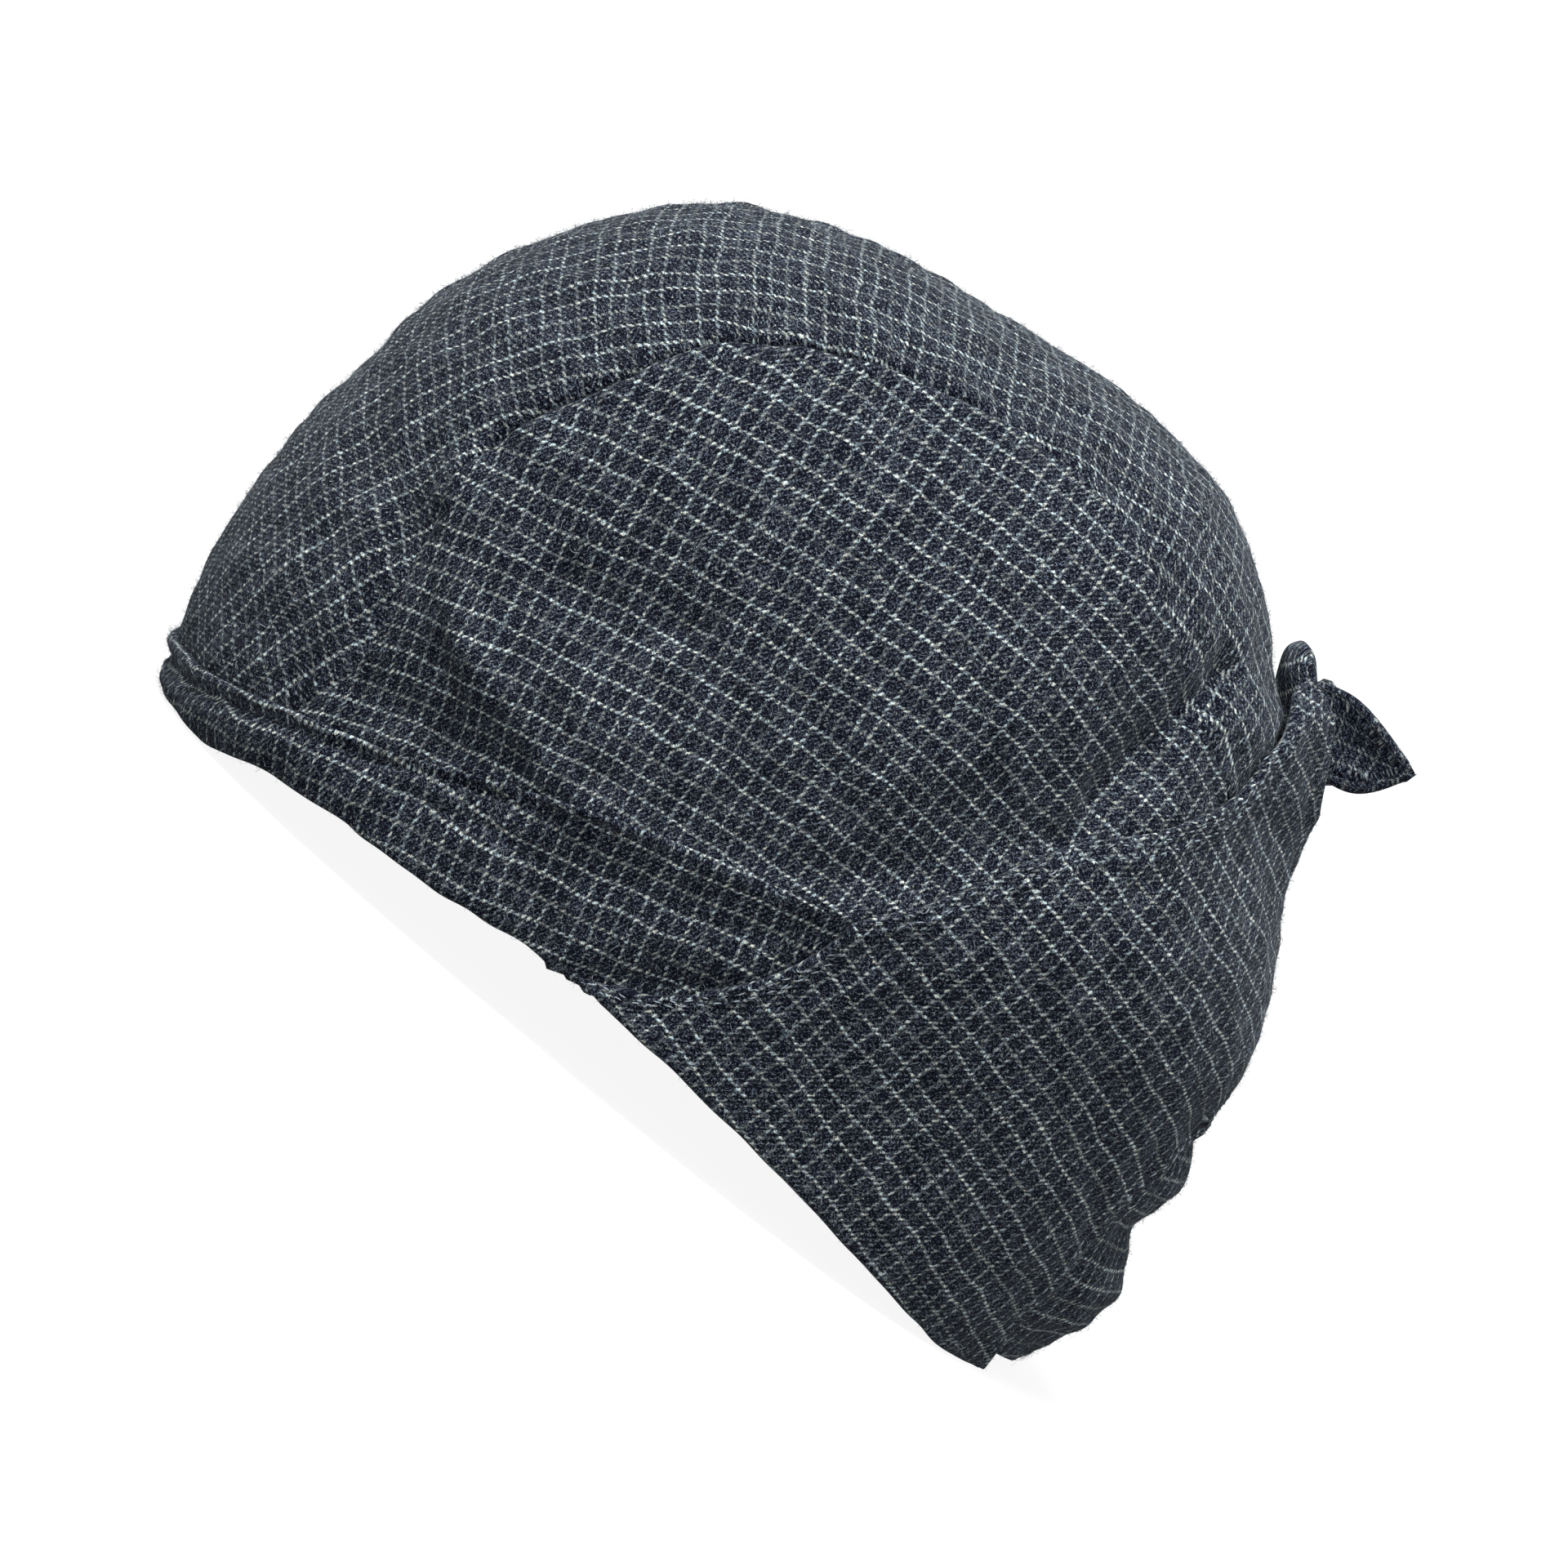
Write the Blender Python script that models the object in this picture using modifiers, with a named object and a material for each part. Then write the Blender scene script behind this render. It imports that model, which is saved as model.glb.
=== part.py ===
"""A soft bandana cap of brushed check cloth, resting on its own rim.

The crown is a front-to-back panel between two side panels. A folded band closes its front
edge from temple to temple. Two wide wraps run back from the temples over the crown's lower
edge and are tied in a knot at the back, with two short tails. A gathered piece fills the
arch that the wraps leave open at the nape.

X runs to the wearer's left, Y from front to back and Z up, in metres. Each wall is a grid
laid on one rounded form, the shell, which is seen from a point inside it, the heart.
"""
import bmesh
import bpy
import numpy as np

# Overall form of the crown
CROWN_LENGTH = 0.2225
CROWN_HEIGHT = 0.155
CROWN_WIDTH = 0.156
SKIRT_REACH = 0.170
ROUNDNESS = 2.35
HEART_UP = 0.287

# Cloth, folds and the clearances between pieces
CLOTH = 0.002
BAND_FOLD = 0.0034
BAND_PROUD = 0.0007
SEAM_GAP = 0.0008
LAYER_GAP = 0.0007
TUCK = 0.0055
BAND_DIP = 0.0005
BAND_DIP_FROM_SHARE = 0.90
RIM_TRIM = 0.020

# Knot, tails and the fullness of the soft pieces
KNOT_LENGTH = 0.030
KNOT_WIDTH = 0.023
KNOT_DEPTH = 0.0088
KNOT_BOXINESS = 2.8
KNOT_CREASE_SHARE = 0.25
CREASE_SPREAD_SHARE = 0.25
CREASE_SLANT_RATIO = 0.3
KNOT_CLEARANCE = 0.0009
KNOT_RING_RADIANS = 1.65
KNOT_SEAT = (0.0, 0.296, 0.794)
WRAP_RISE = 0.0122
WRAP_RISE_SPREAD = 0.027
WRAP_ROLL_SHARE = 0.15
ROLL_ENDS = 0.037
ROLL_FADE = 0.023
TAIL_LENGTH = 0.0195
TAIL_WIDTH = 0.015
TAIL_CLOTH = 0.0026
TAIL_TAPER_SHARE = 0.9
TAIL_POINT = 2.2
TAIL_BELLY_SHARE = 0.14
NAPE_FULLNESS = 0.0105
NAPE_FREE_SHARE = 0.84
NAPE_SOFTNESS = 1.5

# Squares of each grid, along and up the piece, and steps along the guiding lines
CENTER_GRID = (30, 10)
SIDE_GRID = (30, 13)
BAND_GRID = (46, 6)
WRAP_GRID = (24, 14)
NAPE_GRID = (14, 14)
KNOT_GRID = (20, 12)
TAIL_GRID = (8, 5)
FOLD_STEPS = 13
RING_STEPS = 6
LENGTH_STEPS = 33

HALF_WIDTH = CROWN_WIDTH / 2
HEART = np.array((0.0, 0.0, HEART_UP * CROWN_HEIGHT))
WRAP_LIFT = LAYER_GAP + CLOTH
MIRROR_X = np.array((-1.0, 1.0, 1.0))
ACROSS = np.array((1.0, 0.0, 0.0))

# Middle line of the crown, front hem to nape hem.
# Columns: name, along as a share of CROWN_LENGTH, up as a share of CROWN_HEIGHT.
PROFILE = [
    ("front_hem", -0.446, -0.010),
    ("band_top", -0.472, 0.076),
    ("low_brow", -0.486, 0.146),
    ("brow", -0.495, 0.223),
    ("forehead", -0.498, 0.339),
    ("rise", -0.489, 0.455),
    ("slope", -0.478, 0.571),
    ("fore_crest", -0.416, 0.754),
    ("crest", -0.359, 0.851),
    ("top_front", -0.243, 0.939),
    ("top_dip", -0.109, 0.978),
    ("top", 0.040, 1.000),
    ("top_back", 0.137, 0.982),
    ("turn", 0.223, 0.911),
    ("back_high", 0.292, 0.794),
    ("knot_level", 0.341, 0.690),
    ("back_mid", 0.410, 0.574),
    ("back_low", 0.444, 0.470),
    ("nape_high", 0.450, 0.354),
    ("nape", 0.453, 0.192),
    ("nape_hem", 0.444, 0.011),
]

# Lines on the left side. The columns of each row are the shares across of HALF_WIDTH,
# along of CROWN_LENGTH and up of CROWN_HEIGHT; the shell then takes the point to itself.
SEAM = [
    (0.736, -0.357, 0.111),
    (0.790, -0.342, 0.198),
    (0.780, -0.352, 0.283),
    (0.756, -0.362, 0.374),
    (0.726, -0.370, 0.461),
    (0.721, -0.353, 0.559),
    (0.718, -0.322, 0.640),
    (0.683, -0.287, 0.735),
    (0.648, -0.213, 0.820),
    (0.611, -0.130, 0.868),
    (0.592, -0.050, 0.894),
    (0.606, 0.025, 0.897),
    (0.645, 0.138, 0.848),
    (0.610, 0.214, 0.786),
    (0.520, 0.273, 0.726),
    (0.450, 0.305, 0.686),
]
BAND_TOP_FRONT = [
    (0.000, -0.470, 0.060),
    (0.270, -0.455, 0.062),
    (0.530, -0.412, 0.078),
    (0.736, -0.357, 0.111),
]
BAND_TOP_SIDE = [
    (0.736, -0.357, 0.111),
    (0.874, -0.273, 0.155),
    (0.945, -0.199, 0.205),
    (0.988, -0.106, 0.263),
    (0.999, -0.039, 0.294),
    (0.999, 0.030, 0.320),
    (0.986, 0.096, 0.346),
    (0.980, 0.112, 0.362),
]
RIM_FRONT = [
    (0.000, -0.450, 0.008),
    (0.250, -0.440, 0.003),
    (0.480, -0.415, -0.005),
    (0.600, -0.385, 0.010),
    (0.701, -0.353, 0.031),
    (0.807, -0.298, 0.050),
    (0.867, -0.255, 0.061),
    (0.926, -0.192, 0.069),
    (0.962, -0.136, 0.081),
    (0.981, -0.089, 0.089),
    (0.990, -0.043, 0.088),
    (0.993, -0.018, 0.092),
]
LEADING_EDGE = [
    (0.990, -0.043, 0.096),
    (0.995, 0.011, 0.132),
    (0.995, 0.057, 0.200),
    (0.990, 0.088, 0.280),
    (0.986, 0.098, 0.346),
]
WRAP_TOP = [
    (0.986, 0.098, 0.346),
    (0.962, 0.132, 0.407),
    (0.929, 0.158, 0.466),
    (0.866, 0.191, 0.543),
    (0.805, 0.217, 0.588),
    (0.735, 0.243, 0.622),
    (0.644, 0.264, 0.662),
    (0.508, 0.284, 0.707),
    (0.372, 0.298, 0.738),
    (0.260, 0.302, 0.766),
]
RIM_BACK = [
    (0.990, -0.043, 0.096),
    (0.991, -0.005, 0.097),
    (0.986, 0.053, 0.093),
    (0.953, 0.148, 0.079),
    (0.870, 0.245, 0.057),
    (0.755, 0.317, 0.036),
    (0.570, 0.390, 0.008),
    (0.385, 0.430, -0.007),
]
ARCH = [
    (0.385, 0.430, -0.007),
    (0.445, 0.425, 0.090),
    (0.452, 0.425, 0.190),
    (0.415, 0.430, 0.285),
    (0.325, 0.440, 0.352),
    (0.165, 0.452, 0.395),
    (0.020, 0.455, 0.425),
]
BACK_LINE = [
    (0.000, 0.445, 0.490),
    (0.000, 0.415, 0.570),
    (0.000, 0.375, 0.650),
]
CROWN_HEM_SIDE = [
    (0.967, 0.133, 0.386),
    (0.937, 0.162, 0.433),
    (0.882, 0.196, 0.503),
    (0.822, 0.224, 0.549),
    (0.752, 0.252, 0.584),
    (0.655, 0.276, 0.622),
    (0.530, 0.298, 0.664),
    (0.450, 0.305, 0.686),
]
CROWN_HEM_BACK = [
    (0.450, 0.305, 0.686),
    (0.250, 0.372, 0.596),
    (0.000, 0.432, 0.506),
]
NAPE_TOP = [
    (0.000, 0.450, 0.480),
    (0.070, 0.450, 0.475),
]
NAPE_HEM = [
    (0.000, 0.440, 0.050),
    (0.250, 0.435, 0.030),
    (0.455, 0.430, 0.012),
]

# The height of the nape piece's fullness.
# Columns: up as a share of CROWN_HEIGHT, fullness as a share of NAPE_FULLNESS.
GATHERS = [
    (0.000, 0.52),
    (0.060, 0.64),
    (0.115, 0.98),
    (0.165, 1.00),
    (0.235, 0.42),
    (0.290, 0.66),
    (0.340, 0.44),
    (0.375, 0.10),
    (0.400, 0.00),
    (0.480, 0.00),
]

# Dents and ridges, alike on both sides. Columns: name, points as above, reach to each
# side and depth as shares of HALF_WIDTH; a depth below zero goes inwards.
FOLDS = [
    ("side_ridge", [(0.80, -0.33, 0.42), (0.915, -0.243, 0.345), (0.980, -0.130, 0.320)], 0.10, 0.022),
    ("temple_dent", [(0.850, -0.300, 0.190), (0.937, -0.213, 0.230)], 0.15, -0.034),
    ("side_dent", [(0.920, -0.231, 0.408), (0.949, -0.154, 0.495)], 0.22, -0.036),
    ("back_valley", [(0.700, 0.190, 0.735), (0.790, 0.185, 0.660), (0.880, 0.150, 0.570)], 0.15, -0.050),
    ("low_valley", [(0.925, 0.120, 0.510), (0.975, 0.085, 0.430)], 0.12, -0.036),
    ("long_crease", [(0.990, -0.080, 0.205), (1.000, -0.010, 0.243), (0.999, 0.040, 0.265)], 0.07, -0.030),
    ("wrap_fold", [(0.990, -0.020, 0.120), (0.997, 0.035, 0.178)], 0.06, -0.022),
    ("wrap_hollow", [(0.930, 0.230, 0.230), (0.800, 0.320, 0.330)], 0.30, -0.030),
]

# The two free ends. Columns: name, side, lean down the back and turn to that side in radians.
TAILS = [
    ("tail_left", 1, 0.62, 0.10),
    ("tail_right", -1, 0.95, 0.85),
]

# Plain colours of the cloth and its roughness
CROWN_COLOR = (0.078, 0.088, 0.104)
WRAP_COLOR = (0.080, 0.090, 0.106)
BAND_COLOR = (0.070, 0.078, 0.092)
SHADE_COLOR = (0.058, 0.065, 0.077)
CLOTH_ROUGHNESS = 0.92


def places(rows):
    """Points for rows of shares of the half width, the length and the height."""
    return np.array(rows) * (HALF_WIDTH, CROWN_LENGTH, CROWN_HEIGHT)


def smooth_table(marks, values):
    """A smooth function through a table of values or points, one for each mark."""
    slopes = np.gradient(values, marks, axis=0)

    def at(mark):
        held = np.clip(mark, marks[0], marks[-1])
        index = np.clip(np.searchsorted(marks, held) - 1, 0, len(marks) - 2)
        span = marks[index + 1] - marks[index]
        t = (held - marks[index]) / span
        if values.ndim > 1:
            span = span[..., None]
            t = t[..., None]
        start = (2 * t**3 - 3 * t**2 + 1) * values[index] + (t**3 - 2 * t**2 + t) * span * slopes[index]
        end = (3 * t**2 - 2 * t**3) * values[index + 1] + (t**3 - t**2) * span * slopes[index + 1]
        return start + end

    return at


def lengths_along(points):
    """Distance of each point from the first, along the chords."""
    steps = np.linalg.norm(np.diff(points, axis=0), axis=1)
    return np.concatenate(([0.0], np.cumsum(steps)))


def curve_through(points):
    """A smooth line through points, as a function of the share of its length."""
    marks = lengths_along(points)
    table = smooth_table(marks, points)
    return lambda share: table(np.asarray(share) * marks[-1])


def stretch_of(points, first, last):
    """The part of curve_through(points) between two of its points, as a line of its own."""
    marks = lengths_along(points)
    table = smooth_table(marks, points)
    return lambda share: table(marks[first] + share * (marks[last] - marks[first]))


def profile_table():
    """Distance from the heart to the middle line, by the angle from straight ahead over the top."""
    along = np.array([row[1] for row in PROFILE]) * CROWN_LENGTH
    up = np.array([row[2] for row in PROFILE]) * CROWN_HEIGHT - HEART[2]
    angles = np.arctan2(up, -along)
    angles = np.where(angles < -np.pi / 2, angles + 2 * np.pi, angles)
    angles = np.concatenate(([-np.pi / 2], angles, [1.5 * np.pi]))
    reaches = np.concatenate(([SKIRT_REACH], np.hypot(along, up), [SKIRT_REACH]))
    return smooth_table(angles, reaches)


# The crown's lower edge, from the middle of the front to the seam's end under the wrap
CROWN_FOOT = places(BAND_TOP_FRONT + BAND_TOP_SIDE[1:] + CROWN_HEM_SIDE)
SEAM_FOOT = len(BAND_TOP_FRONT) - 1
BAND_END = SEAM_FOOT + len(BAND_TOP_SIDE) - 1
PROFILE_REACH = profile_table()


def fold_depth(points):
    """How far the dents and ridges move each point of the shell outwards."""
    folded = np.abs(points) * (1, 0, 0) + points * (0, 1, 1)
    depth = np.zeros(len(points))
    for _name, rows, reach, height in FOLDS:
        line = shell_base(curve_through(places(rows))(np.linspace(0, 1, FOLD_STEPS)) - HEART)
        apart = np.linalg.norm(folded[:, None] - line[None], axis=2).min(axis=1)
        depth += height * HALF_WIDTH * np.exp(-((apart / (reach * HALF_WIDTH)) ** 2))
    return depth


def shell_base(directions):
    """Points of the smooth shell along directions from the heart."""
    unit = directions / np.linalg.norm(directions, axis=1)[:, None]
    around = np.arctan2(unit[:, 2], -unit[:, 1])
    across = np.abs(unit[:, 0]) / HALF_WIDTH
    around = np.where(around < -np.pi / 2, around + 2 * np.pi, around)
    inline = np.hypot(unit[:, 1], unit[:, 2]) / PROFILE_REACH(around)
    return HEART + unit / ((across**ROUNDNESS + inline**ROUNDNESS) ** (1 / ROUNDNESS))[:, None]


def shell(points, lift):
    """Take points to the folded shell along lines from the heart, then raise them by lift."""
    base = shell_base(points - HEART)
    outward = base - HEART
    outward /= np.linalg.norm(outward, axis=1)[:, None]
    return base + outward * (fold_depth(base) + lift)[:, None]


def patch_point(bottom, top, start, end, u, v):
    """A point between four boundary lines, at shares u along and v up."""
    along = (1 - v)[:, None] * bottom(u) + v[:, None] * top(u)
    up = (1 - u)[:, None] * start(v) + u[:, None] * end(v)
    zero = np.zeros(1)
    one = np.ones(1)
    corners = ((1 - u) * (1 - v))[:, None] * bottom(zero) + (u * (1 - v))[:, None] * bottom(one)
    corners += ((1 - u) * v)[:, None] * top(zero) + (u * v)[:, None] * top(one)
    return along + up - corners


def inset(share, length, gap):
    """Shares of a length, moved in from both of its ends by a gap."""
    margin = gap / length
    return margin + share * (1 - 2 * margin)


def smooth_step(value):
    """Zero below 0, one above 1 and smooth between."""
    held = np.clip(value, 0, 1)
    return held * held * (3 - 2 * held)


def mirrored_line(line):
    """The same line on the wearer's right."""
    return lambda share: line(share) * MIRROR_X


def across_line(half):
    """A line from the left end of a half line, over the middle, to its mirror image."""

    def at(share):
        left = half(np.clip(1 - 2 * share, 0, 1))
        right = half(np.clip(2 * share - 1, 0, 1)) * MIRROR_X
        return np.where((share < 0.5)[:, None], left, right)

    return at


def grid_object(name, squares, place):
    """A grid of faces whose corners place() puts, from their shares u and v."""
    mesh = bpy.data.meshes.new(name)
    bm = bmesh.new()
    bmesh.ops.create_grid(bm, x_segments=squares[0], y_segments=squares[1], size=0.5)
    shares = np.array([vertex.co[:2] for vertex in bm.verts]) + 0.5
    points = place(shares[:, 0], shares[:, 1])
    for vertex, point in zip(bm.verts, points):
        vertex.co = point
    bm.to_mesh(mesh)
    bm.free()
    mesh.shade_smooth()
    part = bpy.data.objects.new(name, mesh)
    CAP.objects.link(part)
    return part


def add_wall(part, thickness):
    """Give an open sheet its thickness, inwards."""
    wall = part.modifiers.new("wall", "SOLIDIFY")
    wall.thickness = thickness
    wall.offset = -1
    wall.use_even_offset = True


def trim_at_floor(part, cutter):
    """Cut a piece flat where its rim touches the surface it rests on."""
    trim = part.modifiers.new("flat_rim", "BOOLEAN")
    trim.operation = "DIFFERENCE"
    trim.object = cutter


def floor_cutter():
    """The space below the rim."""
    bpy.ops.mesh.primitive_cube_add(size=1)
    cutter = bpy.context.object
    cutter.name = "below_rim"
    cutter.scale = (2 * CROWN_LENGTH, 2 * CROWN_LENGTH, RIM_TRIM)
    cutter.location = (0, 0, -RIM_TRIM / 2)
    cutter.hide_render = True
    cutter.display_type = "WIRE"
    for holder in list(cutter.users_collection):
        holder.objects.unlink(cutter)
    CUTTERS.objects.link(cutter)
    return cutter


def cloth_material(name, color):
    """A plain matte cloth."""
    material = bpy.data.materials.new(name)
    material.use_nodes = True
    shader = material.node_tree.nodes["Principled BSDF"]
    shader.inputs["Base Color"].default_value = (*color, 1)
    shader.inputs["Roughness"].default_value = CLOTH_ROUGHNESS
    shader.inputs["Metallic"].default_value = 0
    material.diffuse_color = (*color, 1)
    return material


def line_length(line):
    """Length of a line, from a few chords."""
    points = line(np.linspace(0, 1, LENGTH_STEPS))
    return np.linalg.norm(np.diff(points, axis=0), axis=1).sum()


def make_center_panel():
    """The front-to-back panel between the two side seams."""
    seam = curve_through(places(SEAM))
    front = across_line(stretch_of(CROWN_FOOT, 0, SEAM_FOOT))
    back = across_line(curve_through(places(CROWN_HEM_BACK[::-1])))
    width = line_length(front)
    length = line_length(seam)

    def place(u, v):
        u = inset(u, length, SEAM_GAP / 2)
        v = inset(v, width, SEAM_GAP / 2)
        points = patch_point(seam, mirrored_line(seam), front, back, u, v)
        return shell(points, 0.0)

    panel = grid_object("crown_center_panel", CENTER_GRID, place)
    add_wall(panel, CLOTH)
    return panel


def make_side_panel(name, side):
    """A side panel: seam above, band and wrap edge below."""
    seam = curve_through(places(SEAM))
    hem = stretch_of(CROWN_FOOT, SEAM_FOOT, len(CROWN_FOOT) - 1)
    length = line_length(seam)

    def place(u, v):
        u = u if side > 0 else 1 - u
        u = inset(u, length, 2 * SEAM_GAP)
        low = shell_base(hem(u) - HEART)
        high = shell_base(seam(u) - HEART)
        height = np.linalg.norm(high - low, axis=1)
        v = inset(v, height, SEAM_GAP / 2)
        points = (1 - v)[:, None] * low + v[:, None] * high
        points = shell(points, 0.0)
        return points * (side, 1, 1)

    panel = grid_object(name, SIDE_GRID, place)
    add_wall(panel, CLOTH)
    return panel


def make_front_band(cutter):
    """The folded hem from temple to temple, its two ends dipped and tucked under the wraps."""
    top_half = stretch_of(CROWN_FOOT, 0, BAND_END)
    rim_half = curve_through(places(RIM_FRONT))
    end = curve_through(places(LEADING_EDGE))

    def place(u, v):
        share = np.abs(2 * u - 1)
        low = rim_half(share)
        high = top_half(share)
        bow = end(v) - (1 - v)[:, None] * end(np.zeros(1)) - v[:, None] * end(np.ones(1))
        dip = smooth_step((share - BAND_DIP_FROM_SHARE) / (1 - BAND_DIP_FROM_SHARE))
        v = v * (1 - SEAM_GAP * (1 + 2 * dip) / np.linalg.norm(high - low, axis=1))
        points = (1 - v)[:, None] * low + v[:, None] * high + smooth_step(4 * share - 3)[:, None] * bow
        points[:, 0] *= np.sign(2 * u - 1)
        return shell(points, BAND_PROUD - (BAND_PROUD + BAND_DIP) * dip)

    band = grid_object("front_band", BAND_GRID, place)
    add_wall(band, BAND_FOLD)
    trim_at_floor(band, cutter)
    return band


def knot_frame():
    """The knot's seat on the crown, with its directions outwards and down the back."""
    seat = shell_base(places([KNOT_SEAT]) - HEART)[0]
    outward = (seat - HEART) / np.linalg.norm(seat - HEART)
    return seat, outward, np.cross(outward, ACROSS)


def knot_ring():
    """Points just clear of the knot, from straight below it round to its left side."""
    seat, _outward, down = knot_frame()
    turn = np.linspace(0, KNOT_RING_RADIANS, RING_STEPS)
    unit = np.stack((np.sin(turn), np.cos(turn)), axis=1)
    unit /= ((np.abs(unit) ** KNOT_BOXINESS).sum(axis=1) ** (1 / KNOT_BOXINESS))[:, None]
    wide = unit[:, :1] * (KNOT_WIDTH / 2 + KNOT_CLEARANCE) * ACROSS
    return seat + wide + unit[:, 1:] * (KNOT_LENGTH / 2 + KNOT_CLEARANCE) * down


def make_wrap(name, side, cutter):
    """A wide flap from the temple to the knot, proud of the crown that it covers."""
    ring = knot_ring()
    rim = curve_through(places(RIM_BACK))
    top = curve_through(np.concatenate((places(WRAP_TOP), ring[-1:])))
    leading = curve_through(places(LEADING_EDGE))
    back = curve_through(np.concatenate((places(ARCH + BACK_LINE), ring)))
    knot, _outward, _down = knot_frame()

    def place(u, v):
        u = u if side > 0 else 1 - u
        u = inset(u, line_length(rim), SEAM_GAP)
        points = patch_point(rim, top, leading, back, u, v)
        roll = np.sqrt(1 - (1 - np.clip((1 - v) / WRAP_ROLL_SHARE, 0, 1)) ** 2)
        base = shell_base(points - HEART)
        apart = np.linalg.norm(base - knot, axis=1)
        near = smooth_step((ROLL_ENDS - apart) / ROLL_FADE)
        rise = WRAP_RISE * np.exp(-((apart / WRAP_RISE_SPREAD) ** 2)) * np.maximum(roll, near)
        points = shell(points, WRAP_LIFT + rise)
        points[:, 0] = np.maximum(points[:, 0], SEAM_GAP / 2)
        return points * (side, 1, 1)

    wrap = grid_object(name, WRAP_GRID, place)
    add_wall(wrap, CLOTH)
    trim_at_floor(wrap, cutter)
    return wrap


def make_nape_gusset():
    """The gathered piece in the arch, tucked under both wraps."""
    sides = [(row[0] + TUCK / HALF_WIDTH, row[1], row[2]) for row in ARCH[1:-1]]
    edge = curve_through(places([NAPE_HEM[-1], *sides, NAPE_TOP[-1]]))
    hem = across_line(curve_through(places(NAPE_HEM)))
    top = across_line(curve_through(places(NAPE_TOP)))
    gathers = np.array(GATHERS) * (CROWN_HEIGHT, NAPE_FULLNESS)
    fullness = smooth_table(gathers[:, 0], gathers[:, 1])

    def place(u, v):
        points = patch_point(hem, top, edge, mirrored_line(edge), u, v)
        base = shell_base(points - HEART)
        across = np.abs(2 * u - 1) / NAPE_FREE_SHARE
        bulge = np.clip(1 - across**2, 0, 1) ** NAPE_SOFTNESS
        return shell(points, fullness(base[:, 2]) * bulge)

    gusset = grid_object("nape_gusset", NAPE_GRID, place)
    add_wall(gusset, CLOTH)
    return gusset


def make_knot():
    """The tied knot: a soft, boxy pad that lies on the crown between the wraps' ends."""
    seat, _outward, down = knot_frame()
    mesh = bpy.data.meshes.new("knot")
    bm = bmesh.new()
    bmesh.ops.create_uvsphere(bm, u_segments=KNOT_GRID[0], v_segments=KNOT_GRID[1], radius=1)
    unit = np.array([vertex.co for vertex in bm.verts])
    unit /= ((np.abs(unit) ** KNOT_BOXINESS).sum(axis=1) ** (1 / KNOT_BOXINESS))[:, None]
    x, y, z = unit.T
    groove = np.exp(-(((y - CREASE_SLANT_RATIO * x) / CREASE_SPREAD_SHARE) ** 2))
    crease = 1 - KNOT_CREASE_SHARE * groove * (z > 0)
    flat = x[:, None] * KNOT_WIDTH / 2 * ACROSS + y[:, None] * KNOT_LENGTH / 2 * down
    points = shell(seat + flat, LAYER_GAP + KNOT_DEPTH / 2 * (1 + z * crease))
    for vertex, point in zip(bm.verts, points):
        vertex.co = point
    bm.to_mesh(mesh)
    bm.free()
    mesh.shade_smooth()
    knot = bpy.data.objects.new("knot", mesh)
    CAP.objects.link(knot)
    return knot


def make_tail(name, side, lean, turn):
    """A short pointed end of cloth that stands out from the knot, leaning down and aside."""
    seat, outward, down = knot_frame()
    forth = outward * np.cos(lean) + down * np.sin(lean)
    forth = forth * np.cos(turn) + ACROSS * side * np.sin(turn)
    flat = np.cross(forth, down * side)
    flat /= np.linalg.norm(flat)
    middle = seat + ACROSS * side * (TAIL_CLOTH / 2 + LAYER_GAP)
    lift = KNOT_DEPTH + 2 * LAYER_GAP
    root = shell(middle[None], lift)[0]

    def place(u, v):
        width = (1 - TAIL_TAPER_SHARE * u**TAIL_POINT) * (1 + TAIL_BELLY_SHARE * np.sin(np.pi * u))
        sweep = (2 * v - 1) * TAIL_WIDTH / 2
        edge = shell(middle + sweep[:, None] * down, lift) - root
        cup = TAIL_CLOTH * np.sin(np.pi * u) * (1 - (2 * v - 1) ** 2)
        reach = (TAIL_LENGTH * u)[:, None] * forth
        return root + edge * width[:, None] + reach + cup[:, None] * flat

    tail = grid_object(name, TAIL_GRID, place)
    add_wall(tail, TAIL_CLOTH)
    return tail


for old in list(bpy.data.objects):
    bpy.data.objects.remove(old)
CAP = bpy.data.collections.new("bandana_cap")
CUTTERS = bpy.data.collections.new("cutters")
bpy.context.scene.collection.children.link(CAP)
bpy.context.scene.collection.children.link(CUTTERS)


def main():
    cutter = floor_cutter()
    parts = [
        (make_center_panel(), CROWN_COLOR),
        (make_side_panel("crown_left_panel", 1), CROWN_COLOR),
        (make_side_panel("crown_right_panel", -1), CROWN_COLOR),
        (make_front_band(cutter), BAND_COLOR),
        (make_wrap("left_wrap", 1, cutter), WRAP_COLOR),
        (make_wrap("right_wrap", -1, cutter), WRAP_COLOR),
        (make_nape_gusset(), SHADE_COLOR),
        (make_knot(), CROWN_COLOR),
    ]
    for name, side, lean, turn in TAILS:
        parts.append((make_tail(name, side, lean, turn), SHADE_COLOR))
    for part, color in parts:
        part.data.materials.append(cloth_material(part.name + "_cloth", color))


main()
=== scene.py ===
"""Looks of the bandana cap: brushed check cloth with its seams, hems, creases and loose fibres.

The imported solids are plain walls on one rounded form, the shell, seen from a point inside it,
the heart. Metres, X to the wearer's left, Y from front to back, Z up.
"""
import bpy
import numpy as np
from mathutils import Matrix


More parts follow.
